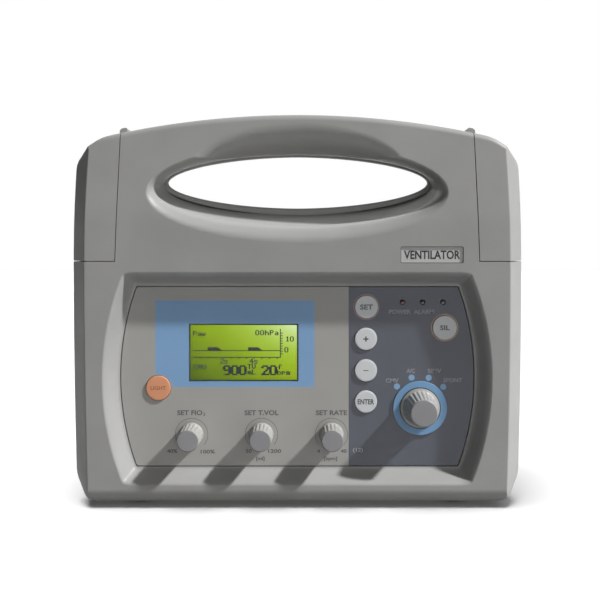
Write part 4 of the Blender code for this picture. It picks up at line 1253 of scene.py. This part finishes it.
def dial_cap(x, z, front, cap):
    edge = rounded([(cap - 0.9, front + 0.04), (cap, front + 0.08), (cap, front + 0.7)], 0.5, 5)
    under = front + CAP_THICK
    outline = [(0, front), (cap * 0.5, front + 0.01), *edge, (cap, under), (0, under)]
    return turned("cap", outline, x, z, 72)


SMALL = (7.5, 7.2, 7.95, 6.7)
LARGE = (11.2, 9.1, 12.95, 8.35)
for name, (x, z) in DIALS.items():
    sizes, count = (LARGE, 24) if name == "mode" else (SMALL, 18)
    front = span(name + "_knob_cap")[2]
    base = span(name + "_knob")[3]
    body = dial_body(x, z, front, base, sizes, count)
    piece(body, name + "_dial_grip", KNOB, name + "_dial", [name + "_knob"], 50)
    cap = dial_cap(x, z, front, sizes[3])
    piece(cap, name + "_dial_cap", CAP, name + "_dial", [name + "_knob_cap"], 40)
print("dials:", len(DIALS), "with", len(body.data.polygons), "faces in the largest")

# %% [markdown]
# ## The display
# Behind a clear pane lies a backlit glass with a 128 by 64 grid of dots. The glow is uneven, as
# behind a real edge-lit display: paler towards the upper right, deeper at the lower left. A thin
# black band is painted shade along the window's edge, and it keeps the glow off that edge. What
# the display says is drawn as thin dark shapes on the grid, so its letters are made of dots.


# %% Pane and glowing glass
def clear_pane():
    made, tree, shader = new_material("clear_pane", 0.05)
    shader.inputs["Transmission Weight"].default_value = 1.0
    shader.inputs["IOR"].default_value = 1.16
    group = node(tree, "ShaderNodeGroup", node_tree=MOULDED_GRAIN)
    tree.links.new(between(tree, group.outputs["Rub"], 0.0, 0.03), shader.inputs["Roughness"])
    drifting(tree, shader, group.outputs["Drift"], ((0.94, 0.97, 0.96, 1), (1, 1, 1, 1)))
    return made


def along(tree, axis, start, end):
    """0 to 1 between two places in metres on the X or the Z axis."""
    place = node(tree, "ShaderNodeSeparateXYZ", {"Vector": object_coords(tree)})
    inputs = {"Value": place.outputs[axis], "From Min": start, "From Max": end}
    return node(tree, "ShaderNodeMapRange", inputs).outputs["Result"]


def backlit_glass(low, high):
    made, tree, shader = new_material("backlit_glass", 0.3, specular=0.1)
    across = along(tree, "X", low.x, high.x)
    up = along(tree, "Z", low.z, high.z)
    glow = math_node(tree, "ADD", math_node(tree, "MULTIPLY", across, 0.55),
                     math_node(tree, "MULTIPLY", up, 0.45))
    cloud = node(tree, "ShaderNodeTexNoise", {"Vector": object_coords(tree), "Scale": 45.0})
    glow = math_node(tree, "ADD", glow, between(tree, cloud.outputs["Fac"], -0.08, 0.08))
    body = ramp(tree, glow, ((0.085, 0.145, 0.001, 1), (0.42, 0.63, 0.006, 1)), 0.05, 0.85)
    edge = math_node(tree, "POWER", math_node(tree, "MULTIPLY", up, across), 3.5)
    pale = math_node(tree, "MULTIPLY", edge, 0.95, clamp=True)
    colour = mixed(tree, pale, body, (0.85, 1.0, 0.6, 1.0))
    tree.links.new(mixed(tree, 0.8, colour, (0.0, 0.0, 0.0, 1.0)), shader.inputs["Base Color"])
    tree.links.new(colour, shader.inputs["Emission Color"])
    shader.inputs["Emission Strength"].default_value = 0.8
    return made


x0, x1, d0, d1, z0, z1 = WINDOW
pane = tray("pane", WINDOW, [(d0, 0.15), (d0 + 0.15, 0.02), (d1, 0.02)], 0.5)
piece(pane, "display_pane", ("clear_window", clear_pane()), stands_for=["display_window"])
# The black band round the window is painted shade along the window's edge.
SHADE_BAND = 0.75
shade_band = slab("shade_band", rectangle(x0 + 0.02, x1 - 0.02, z0 + 0.02, z1 - 0.02), d1 + 0.1, d1 + 0.3)
inner = rectangle(x0 + SHADE_BAND, x1 - SHADE_BAND, z0 + SHADE_BAND, z1 - SHADE_BAND, 0.4)
cut(shade_band, slab("shade_band_hole", inner, d1 - 1, d1 + 2))
piece(shade_band, "display_edge_shade", BLACK)
gx0, gx1, gd0, gd1, gz0, gz1 = span("display_glass")
glass = slab("glass", rectangle(gx0, gx1, gz0, gz1), gd0, gd1)
low, high = at(x0, 0, z0), at(x1, 0, z1)
piece(glass, "lit_glass", ("display_green", backlit_glass(low, high)), stands_for=["display_glass"])
print(f"display {x1 - x0:.1f} by {z1 - z0:.1f} mm")

# %% [markdown]
# Each character is five dots wide and seven high, spelled out as seven rows. A run of neighbouring
# dots becomes one thin bar. The large figures use the same shapes, stretched and thickened.

# %% Dot shapes
COLUMNS, ROWS = 128, 64
MARGIN = SHADE_BAND + 0.3
DOT_WIDE = (x1 - x0 - 2 * MARGIN) / COLUMNS
DOT_HIGH = (z1 - z0 - 2 * MARGIN) / ROWS
GLYPHS = {
    "P": "####. #...# #...# ####. #.... #.... #....",
    "a": "..... ..... .###. ....# .#### #...# .####",
    "w": "..... ..... #...# #...# #.#.# #.#.# .#.#.",
    "h": "#.... #.... #.##. ##..# #...# #...# #...#",
    "0": ".###. #...# #...# #...# #...# #...# .###.",
    "1": "..#.. .##.. ..#.. ..#.. ..#.. ..#.. .###.",
    "2": ".###. #...# ....# ...#. ..#.. .#... #####",
    "4": "...#. ..##. .#.#. #..#. ##### ...#. ...#.",
    "9": ".###. #...# #...# .#### ....# ....# .###.",
    "s": "..... ..... .#### #.... .###. ....# ####.",
    "C": ".###. #...# #.... #.... #.... #...# .###.",
    "M": "#...# ##.## #.#.# #.#.# #...# #...# #...#",
    "V": "#...# #...# #...# #...# #...# .#.#. ..#..",
    "T": "##### ..#.. ..#.. ..#.. ..#.. ..#.. ..#..",
    "m": "..... ..... ##.#. #.#.# #.#.# #.#.# #.#.#",
    "L": "#.... #.... #.... #.... #.... #.... #####",
    "f": "..##. .#..# .#... ###.. .#... .#... .#...",
    "b": "#.... #.... #.##. ##..# #...# #...# ####.",
    "p": "..... ..... ####. #...# ####. #.... #....",
}


def bar(bm, column, row, wide, high):
    """A thin bar on the display's grid, counted from its upper left corner."""
    made = bmesh.ops.create_cube(bm, size=1.0)["verts"]
    x = x0 + MARGIN + (column + wide / 2) * DOT_WIDE
    z = z1 - MARGIN - (row + high / 2) * DOT_HIGH
    size = Vector((wide * DOT_WIDE, 0.05, high * DOT_HIGH)) * MM
    bmesh.ops.scale(bm, vec=size, verts=made)
    bmesh.ops.translate(bm, vec=at(x, gd0 - 0.05, z), verts=made)


def write_dots(bm, text, column, row, scale=1.0, fat=0.0, pitch=6.0):
    for letter in text:
        for r, dots in enumerate(GLYPHS[letter].split()):
            start = None
            for c, dot in enumerate(dots + "."):
                if dot == "#" and start is None:
                    start = c
                if dot == "." and start is not None:
                    place = (column + start * scale - fat, row + r * scale)
                    bar(bm, *place, (c - start) * scale + 2 * fat, scale + fat * 0.3)
                    start = None
        column += pitch * scale


# %% What the display says
def screen_dots():
    bm = bmesh.new()
    small = (0.86, 0.3)
    write_dots(bm, "Paw", 1.8, 7, *small, 6.1)
    write_dots(bm, "00hPa", 78, 6, *small, 6.8)
    write_dots(bm, "10", 115, 13.5, *small)
    write_dots(bm, "0", 113.5, 26.5, *small)
    write_dots(bm, "2s", 34.5, 40, *small)
    write_dots(bm, "4s", 71, 40, *small)
    write_dots(bm, "CMV", 2.4, 47, *small, 6.5)
    write_dots(bm, "900", 38.8, 48, 1.68, 0.85, 5.75)
    write_dots(bm, "TV", 68.5, 46.5, *small)
    write_dots(bm, "mL", 68.5, 53, *small)
    write_dots(bm, "20", 85.6, 48, 1.68, 0.85, 5.75)
    write_dots(bm, "f", 105.8, 47, *small)
    write_dots(bm, "bpm", 104.5, 53.5, *small, 6.5)
    bar(bm, 1, 30, 108, 1)
    bar(bm, 1, 38, 108, 1.1)
    bar(bm, 107.8, 4.5, 1.1, 34.5)
    for i in range(9):
        bar(bm, 109, 9 + 3.1 * i, 2.2, 1.1)
    for i in range(11):
        bar(bm, 10 + 9.4 * i, 39, 1.1, 1.6)
    for start in (19.5, 68.8):
        for i in range(4):
            bar(bm, start, 26.4 + i, 13 + 1.4 * i, 1)
    return solid("dots", bm)


DOT_INK = plastic("display_dots", (0.004, 0.012, 0.014), 0.4, 0.3, 0.001, 0.2)
dots = piece(screen_dots(), "display_dots", ("display_green", DOT_INK))
print("display dots:", len(dots.data.polygons), "faces")

# %% [markdown]
# ## The back
# The rear of the case is made with the same helpers. The covers sit a hair inside their seats, and
# every round edge is a real curve: from behind, thin highlights on edges are most of what shows.


# %% Feet, screws and battery cover
def foot(name):
    low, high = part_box(name)
    bm = bmesh.new()
    radius = (high.x - low.x) / 2
    size = {"cap_ends": True, "segments": 64, "depth": high.z - low.z}
    bmesh.ops.create_cone(bm, radius1=radius - 1.2 * MM, radius2=radius, **size)
    bmesh.ops.translate(bm, vec=(low + high) / 2, verts=bm.verts)
    rim = [e for e in bm.edges if all(abs(v.co.z - low.z) < 1e-6 for v in e.verts)]
    soften(bm, rim, 0.7, 5)
    under = [f for f in bm.faces if f.normal.z < -0.99 and len(f.verts) > 8]
    bmesh.ops.inset_region(bm, faces=under, thickness=2.0 * MM)
    bmesh.ops.inset_region(bm, faces=under, thickness=0.3 * MM, depth=-0.5 * MM)
    return solid(name, bm)


def cross_slot(x, z, size, front, back):
    upright = slab("slot", rectangle(x - 0.35, x + 0.35, z - size, z + size), front, back)
    level = slab("slot", rectangle(x - size, x + size, z - 0.35, z + 0.35), front, back)
    return [upright, level]


def screw(name):
    x, z = centre(name)
    d0, d1 = span(name)[2:4]
    head = d1 - HEAD_HIGH
    rim = rounded([(2.78, head), (2.78, head + 1.9), (1.4, d1), (0, d1)], [0, 0.5, 0.9, 0], 4)
    made = turned("screw", [(0, d0), (1.0, d0), (1.48, d0 + 1), (1.48, head), *rim], x, z, 40)
    return cut(made, *cross_slot(x, z, 1.5, d1 - 1.1, d1 + 1))


for place in ("front_left", "front_right", "rear_left", "rear_right"):
    piece(foot("foot_" + place), "rubber_foot_" + place, RUBBER, stands_for=["foot_" + place])
for i in range(1, 5):
    piece(screw(f"case_screw_{i}"), f"cross_screw_{i}", STEEL, stands_for=[f"case_screw_{i}"])


def battery_lid():
    box = span("battery_cover")
    x0, x1, d0, d1, z0, z1 = box
    rows = [(d0, 0.0), (d1 - 0.8, 0.0)]
    for rise, lean in quarter_turn(5, first=1):
        rows.append((d1 - 0.8 + 0.78 * rise, 0.8 * lean))
    lid = tray("lid", box, rows, 2.2)
    gx, gz = x1 - 20, (z0 + z1) / 2
    scoop = [(d1 + 1, oval(12.6, 5.6, gz, gx, 64)), (d1, oval(12.2, 5.2, gz, gx, 64))]
    scoop += [(d1 - 0.3, oval(11.6, 4.7, gz, gx, 64)), (d1 - 1.1, oval(11.0, 4.2, gz, gx, 64))]
    scoop += [(d1 - 1.5, oval(10.0, 3.4, gz, gx, 64))]
    tools = [loft("grip", scoop)]
    for i in range(3):
        x = gx + 16.9 - 2.2 * i
        tools.append(slab("rib", rectangle(x - 0.5, x + 0.5, gz - 7, gz + 7, 0.45), d1 - 0.5, d1 + 1))
    inner = rectangle(x0 + 5, x1 - 40, z0 + 5, z1 - 5, 3.0)
    outer = rectangle(x0 + 4.4, x1 - 39.4, z0 + 4.4, z1 - 4.4, 3.6)
    groove = cut(slab("groove", outer, d1 - 0.4, d1 + 1), slab("keep", inner, d1 - 1, d1 + 2))
    return cut(lid, groove, *tools)


piece(battery_lid(), "battery_lid", CASE, stands_for=["battery_cover"])

# %% [markdown]
# The connector plate is brushed aluminium with its ports screwed through it. The legends on it face
# backwards, so the lettering is turned half way round before it is placed.


# %% Connector plate
BX0, BX1, BD0, BD1, BZ0, BZ1 = span("connector_plate")
PORTS = {name: centre(name) for name in ("patient_outlet", "pressure_port", "oxygen_inlet")}
PORT_BORES = {"patient_outlet": 8.5, "pressure_port": 3.3, "oxygen_inlet": 8.8}
SOCKET, SWITCH = span("power_socket"), span("switch_frame")


def turned_round(obj, x):
    """Turns lettering half way round the upright line through x, to face backwards."""
    bm = bmesh.new()
    bm.from_mesh(obj.data)
    middle = at(x, 0, 0)
    middle.y = sum((v.co.y for v in bm.verts)) / len(bm.verts)
    turn = Matrix.Rotation(math.pi, 3, "Z")
    bmesh.ops.rotate(bm, cent=middle, matrix=turn, verts=bm.verts)
    bm.to_mesh(obj.data)
    bm.free()
    return obj


def port_plate():
    rows = [(BD0, 0.0), (BD1 - 0.4, 0.0), (BD1 - 0.12, 0.1), (BD1, 0.38)]
    plate = tray("ports", span("connector_plate"), rows, 1.8)
    through = (BD0 - 2, BD1 + 2)
    tools = [disc("port_hole", *PORTS[n], PORT_BORES[n], *through, 64) for n in PORTS]
    for box, rim in ((SOCKET, 3.0), (SWITCH, 2.0)):
        hole = rectangle(box[0] + rim - 0.3, box[1] - rim + 0.3, box[4] + rim - 0.3, box[5] - rim + 0.3)
        tools.append(slab("hole", hole, *through))
    return cut(plate, *tools)


piece(port_plate(), "port_plate", BRUSHED, stands_for=["connector_plate"])
heads = []
for x in (BX0 + 4, BX1 - 4):
    for z in (BZ0 + 4, BZ1 - 4):
        profile = [(0, BD1 - 0.5), (2.1, BD1 - 0.5), (2.1, BD1 + 0.5), (1.7, BD1 + 0.9), (0, BD1 + 1.15)]
        heads.append(cut(turned("head", profile, x, z, 32), *cross_slot(x, z, 1.1, BD1 + 0.5, BD1 + 2)))
piece(together("plate_screws", heads), "plate_screws", STEEL)
labels = []
px, pz = PORTS["patient_outlet"]
ix, iz = PORTS["oxygen_inlet"]
qx, qz = PORTS["pressure_port"]
sx, sz = (SOCKET[0] + SOCKET[1]) / 2, (SOCKET[4] + SOCKET[5]) / 2
rows = [("PATIENT", px, pz + 19.5, 15.5, 2.6), ("O2  4 BAR", ix, iz - 17.5, 16.0, 2.6)]
rows += [("AIRWAY", qx, qz - 12.0, 12.5, 2.4), ("12 V", sx, SOCKET[4] - 3.0, 7.5, 2.4)]
for row in rows:
    labels.append(turned_round(lettering("label", *row, BD1), row[1]))
piece(together("port_labels", labels), "port_labels", ("aluminium", INK))
print("connector plate with", len(PORTS), "gas ports")


# %% Gas ports
def hexagon(x, z, radius):
    turns = [math.pi * i / 3 for i in range(6)]
    return rounded([(x + radius * math.cos(t), z + radius * math.sin(t)) for t in turns],
                   1.0, 4, closed=True)


def nut(x, z, radius, hole, d0, d1):
    rows = [(d0, radius), (d1 - 0.5, radius), (d1, radius - 0.7)]
    made = loft("nut", [(d, hexagon(x, z, r)) for d, r in rows])
    return cut(made, disc("nut_hole", x, z, hole, d0 - 1, d1 + 1, 64))


face = BD1 + 0.3
back = span("patient_outlet")[2]
outlet = [(6.6, back), (8.18, back), (8.18, face + 2.9), (10.9, face + 3.0), (11.2, face + 3.3)]
outlet += [(11.18, face + 5), (10.98, face + 15), (10.8, face + 22.3), (10.5, face + 22.95)]
outlet += [(10.1, face + 23), (8.0, face + 23), (7.6, face + 22.6), (7.4, face + 18), (6.6, face + 10)]
tube = turned("outlet", outlet, px, pz, 96)
flange = turned("flange", [(7.5, face), (14.15, face), (14.15, face + 2.4), (13.6, face + 3),
                           (7.5, face + 3)], px, pz, 96)
piece(join(tube, flange), "patient_port", TURNED, stands_for=["patient_outlet"], smooth=30)

back = span("oxygen_inlet")[2]
inlet = [(3.0, back), (8.46, back), (8.46, face + 1), (6.7, face + 1), (6.7, face + 7.6)]
for i in range(12):
    inlet += [(7.05, face + 8.0 + i), (7.65, face + 8.35 + i), (7.65, face + 8.55 + i)]
inlet += [(6.6, face + 20), (6.6, face + 21.6), (6.2, face + 22), (3.5, face + 22), (3.0, face + 21.5)]
inlet_body = turned("inlet", inlet, ix, iz, 72)
join(inlet_body, nut(ix, iz, 11.45, 6.0, face, face + 7))
piece(inlet_body, "oxygen_port", BRASS, stands_for=["oxygen_inlet"], smooth=30)

back = span("pressure_port")[2]
barb = [(1.2, back), (2.98, back), (2.98, face + 1), (2.4, face + 1), (2.4, face + 8)]
for i in range(2):
    barb += [(3.15, face + 8.6 + 5 * i), (3.15, face + 9.0 + 5 * i), (2.1, face + 12.9 + 5 * i)]
barb += [(1.6, face + 18), (1.2, face + 17.8)]
barb_body = turned("barb", barb, qx, qz, 48)
join(barb_body, nut(qx, qz, 5.95, 1.8, face, face + 4))
piece(barb_body, "airway_port", BRASS, stands_for=["pressure_port"], smooth=30)
print("gas ports stand", round(face + 23 - BD1, 1), "mm out of the plate")


# %% [markdown]
# The power socket is a round inlet with a pin in the middle. The switch is a rocker in a frame: its
# face is two shallow slopes that meet in the middle, and the marks for on and off lie on them.


# %% Socket and switch
def framed(name, box, rim, thick, radius):
    """A body through the plate with a flat rim against it, both with softened edges."""
    made = tray(name, box, [(box[2], rim), (face + 0.5, rim)], 0.5)
    rows = [(face, 0.0), (face + thick - 0.5, 0.0), (face + thick - 0.14, 0.14), (face + thick, 0.45)]
    return join(made, tray("rim", box, rows, radius))


socket = framed("socket", SOCKET, 3.0, 2.0, 2.5)
well = [(0, face - 12), (6.8, face - 12), (6.8, face + 1.4)]
well += [(7.4, face + 1.9), (7.5, face + 5), (0, face + 5)]
cut(socket, turned("well", well, sx, sz, 72))
piece(socket, "power_inlet", BLACK, stands_for=["power_socket"])
pin = [(0, face - 12.5), (1.25, face - 12.5), (1.25, face - 3.0), (0.9, face - 2.3), (0, face - 2.1)]
sleeve = [(5.6, face - 12.5), (6.75, face - 12.5), (6.75, face - 1.0), (6.3, face - 0.6), (5.6, face - 1.0)]
contacts = together("contacts", [turned("pin", pin, sx, sz, 32), turned("sleeve", sleeve, sx, sz, 48)])
piece(contacts, "power_contacts", STEEL)

frame_body = framed("frame", SWITCH, 2.0, 1.6, 1.5)
room = rectangle(SWITCH[0] + 3.7, SWITCH[1] - 3.7, SWITCH[4] + 3.7, SWITCH[5] - 3.7, 0.8)
cut(frame_body, slab("rocker_room", room, face - 12, face + 4))
piece(frame_body, "switch_surround", BLACK, stands_for=["switch_frame"])


def rocker():
    x0, x1, _, _, z0, z1 = span("power_rocker")
    middle, half = (z0 + z1) / 2, (z1 - z0) / 2 - 0.02
    side = [(-half, face - 1.5), (-half + 1.0, face + 1.0), (0.0, face + 2.6), (half - 1.0, face + 4.55)]
    side += [(half, face + 2.6), (half - 1.5, face - 4.0), (0.0, face - 7.5), (-half + 1.5, face - 6.0)]
    side = rounded(side, [0.5, 0.8, 5.0, 0.8, 0.8, 1.0, 2.0, 1.0], 5, closed=True)
    bm = bmesh.new()
    verts = [bm.verts.new(at(x0 + 0.02, d, middle + z)) for z, d in side]
    end = bm.faces.new(verts)
    made = bmesh.ops.extrude_face_region(bm, geom=[end])["geom"]
    moved = [v for v in made if isinstance(v, bmesh.types.BMVert)]
    bmesh.ops.translate(bm, vec=((x1 - x0 - 0.04) * MM, 0, 0), verts=moved)
    rims = [e for e in bm.edges if abs(e.verts[0].co.x - e.verts[1].co.x) < 1e-7]
    soften(bm, rims, 0.35, 3)
    return solid("rocker", bm), middle, (x0 + x1) / 2


def on_slope(obj, slope, z):
    """Leans lettering with the rocker's face, which falls back by slope from height z."""
    for vert in obj.data.vertices:
        vert.co.y += slope * (vert.co.z - BASE_Z - z * MM)
    return obj


rocker_body, rz, rx0 = rocker()
piece(rocker_body, "rocker", BLACK, "power_switch", ["power_rocker"])
on_mark = on_slope(lettering("on", "I", rx0, rz + 6.2, 0.7, 4.2, face + 3.74), 0.176, rz + 6.2)
off_mark = on_slope(lettering("off", "O", rx0, rz - 6.2, 3.6, 4.2, face + 1.62), 0.16, rz - 6.2)
WHITE_INK = plastic("white_ink", (0.6, 0.6, 0.58), 0.5, 0.3, 0.002, 0.05)
piece(together("marks", [on_mark, off_mark]), "rocker_marks", ("plastic_black", WHITE_INK), "power_switch")
print("switch rocker at", round(rx0), round(rz))


# %% Filter cover
def filter_lid():
    x, z = centre("filter_cover")
    x0, x1, d0, d1, _, _ = span("filter_cover")
    radius = (x1 - x0) / 2
    dish = [(0, d0), (radius, d0), (radius, d1 - 0.45), (radius - 0.15, d1 - 0.12)]
    dish += [(radius - 0.5, d1), (radius - 2.0, d1), (radius - 2.4, d1 - 0.35), (0, d1 - 0.35)]
    lid = turned("lid", dish, x, z, 96)
    slots = []
    for i in range(7):
        rise = 4.4 * (i - 3)
        half = math.sqrt((radius - 4) ** 2 - rise**2)
        slot = rectangle(x - half, x + half, z + rise - 1.1, z + rise + 1.1, 1.05)
        slots.append(slab("slot", slot, d0 - 2, d1 + 2))
    return cut(lid, *slots)


piece(filter_lid(), "filter_lid", BLACK, stands_for=["filter_cover"])

# %% [markdown]
# ## The parts inside
# The boards, controls, hose and battery keep the frame's own solids, because little of them shows.
# They still get real finishes: green board with copper under the mask, machined metal, felt and
# shrink film.


# %% Finishes for the inside
def circuit_board():
    made, tree, shader = new_material("circuit_board", 0.3, coat=0.3)
    bricks = {"Scale": 240.0, "Mortar Size": 0.02, "Mortar Smooth": 0.3, "Vector": object_coords(tree)}
    lanes = node(tree, "ShaderNodeTexBrick", bricks)
    cells = node(tree, "ShaderNodeTexVoronoi", {"Scale": 160.0, "Vector": object_coords(tree)})
    spot = math_node(tree, "LESS_THAN", cells.outputs["Distance"], 0.16)
    lane = mixed(tree, lanes.outputs["Fac"], (0.012, 0.10, 0.045, 1.0), (0.03, 0.2, 0.08, 1.0))
    tree.links.new(mixed(tree, spot, lane, (0.5, 0.42, 0.2, 1.0)), shader.inputs["Base Color"])
    tree.links.new(between(tree, spot, 0.38, 0.25), shader.inputs["Roughness"])
    relief(tree, shader, lanes.outputs["Fac"], 0.03)
    return made


def felt():
    made, tree, shader = new_material("filter_felt", 0.95, specular=0.2)
    stretch = node(tree, "ShaderNodeMapping", {"Vector": object_coords(tree), "Scale": (3, 1, 1)})
    fibres = node(tree, "ShaderNodeTexNoise", {"Vector": stretch.outputs["Vector"], "Scale": 900.0})
    value = fibres.outputs["Fac"]
    drifting(tree, shader, value, ((0.45, 0.45, 0.42, 1), (0.8, 0.8, 0.77, 1)))
    relief(tree, shader, value, 0.3)
    return made


def dress(material, names):
    """Gives the frame's own solids a finish in place of their plain one."""
    for name in names:
        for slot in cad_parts[name].material_slots:
            slot.material = material


INSIDE = (
    (circuit_board(), ["display_board", "key_board", "main_board"]),
    (felt(), ["air_filter"]),
    (STEEL[1], [name + "_shaft" for name in DIALS]),
    (BLACK[1], [name + "_control" for name in DIALS] + ["display_frame"]),
    (TURNED[1], ["gas_block"]),
    (RUBBER[1], ["oxygen_hose"]),
    (plastic("battery_film", (0.03, 0.075, 0.26), 0.28, 6.0, 0.12, 0.15, coat=0.3), ["battery_pack"]),
)
for material, names in INSIDE:
    dress(material, names)
print("carried over:", sum(len(names) for _, names in INSIDE), "solids")

# %% [markdown]
# ## Floor, light and camera
# One strong light rakes across the front from the upper right, as low sun through a studio window
# would, so every dial casts a long shadow and the recess reads as a recess. Four soft lobes of sky
# fill the shadows, a weak light from the front reaches into the hand opening, and another from
# behind keeps the back readable. The floor has a light of its own, so it stays pale and quiet.


# %% Floor
def pale_floor():
    made, tree, shader = new_material("pale_floor", 0.9, specular=0.1)
    cloud = node(tree, "ShaderNodeTexNoise", {"Vector": object_coords(tree), "Scale": 3.0})
    drifting(tree, shader, cloud.outputs["Fac"], ((0.86, 0.86, 0.86, 1), (0.9, 0.9, 0.9, 1)))
    return made


FLOOR_REACH = 6.0
bm = bmesh.new()
bmesh.ops.create_grid(bm, x_segments=1, y_segments=1, size=FLOOR_REACH)
floor = solid("floor", bm)
floor.data.materials.append(pale_floor())
floor.visible_diffuse = False
floor.visible_shadow = False
floor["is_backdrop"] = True


# %% Lights
def sun(name, direction, strength, soft_degrees):
    light = bpy.data.lights.new(name, "SUN")
    light.energy = strength
    light.angle = math.radians(soft_degrees)
    made = bpy.data.objects.new(name, light)
    made.rotation_euler = Vector(direction).to_track_quat("-Z", "Y").to_euler()
    bpy.context.scene.collection.objects.link(made)
    return made


def reach(light, name, state):
    """Keeps a light to the floor alone, or off the floor."""
    group = bpy.data.collections.new(name)
    group.objects.link(floor)
    light.light_linking.receiver_collection = group
    group.collection_objects[0].light_linking.link_state = state


reach(sun("key", (-2.87, 1.0, -2.95), 4.6, 3.0), "key_spares", "EXCLUDE")
reach(sun("front", (-0.2, 1.0, -0.12), 0.25, 40.0), "front_spares", "EXCLUDE")
reach(sun("behind", (0.3, -1.0, -0.65), 0.9, 50.0), "behind_spares", "EXCLUDE")
reach(sun("floor_light", (0.1, 0.1, -1.0), 3.9, 40.0), "floor_only", "INCLUDE")

SKY_LOBES = (
    ((0.8, -0.6, -0.1), 0.27),
    ((0.5, -0.45, 0.75), 0.12),
    ((0.5, -0.45, -0.75), 0.20),
    ((0.3, 1.0, 0.3), 0.35),
)
world = bpy.data.worlds.new("studio")
world.use_nodes = True
bpy.context.scene.world = world
tree = world.node_tree
toward = tree.nodes.new("ShaderNodeTexCoord").outputs["Generated"]
sky = 0.0
for direction, bright in SKY_LOBES:
    inputs = {0: toward, 1: Vector(direction).normalized()}
    facing = node(tree, "ShaderNodeVectorMath", inputs, operation="DOT_PRODUCT").outputs["Value"]
    lit = math_node(tree, "MULTIPLY", math_node(tree, "MAXIMUM", facing, 0.0), bright)
    sky = math_node(tree, "ADD", lit, sky)
seen = tree.nodes.new("ShaderNodeLightPath").outputs["Is Camera Ray"]
shade = mixed(tree, seen, sky, (1.0, 1.0, 1.0, 1.0))
tree.links.new(shade, tree.nodes["Background"].inputs["Color"])
bpy.context.scene.view_settings.view_transform = "Standard"

# %% Camera
AWAY, EYE_X, EYE_Z = 600.0, 5.0, 165.4
LENS, SHIFT_X, SHIFT_Y = 55.8, -0.008333, -0.086667
camera_data = bpy.data.cameras.new("front_camera")
camera_data.lens = LENS
camera_data.shift_x = SHIFT_X
camera_data.shift_y = SHIFT_Y
camera = bpy.data.objects.new("front_camera", camera_data)
camera.location = at(EYE_X, -AWAY, EYE_Z)
camera.rotation_euler = (math.pi / 2, 0.0, 0.0)
bpy.context.scene.collection.objects.link(camera)
bpy.context.scene.camera = camera

# %% [markdown]
# ## The two boxes
# The sizes of the frame's box and of the finished look's box are printed in millimetres.
# The finished look may not be larger than the frame.

# %% Print the two boxes
LOOK_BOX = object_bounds()
boxes = {"cad": [list(corner) for corner in CAD_BOX], "visual": [list(corner) for corner in LOOK_BOX]}
for word, box in boxes.items():
    print(word, [round((high - low) / MM, 1) for low, high in zip(*box)], "mm")
print(len(MADE), "pieces made")
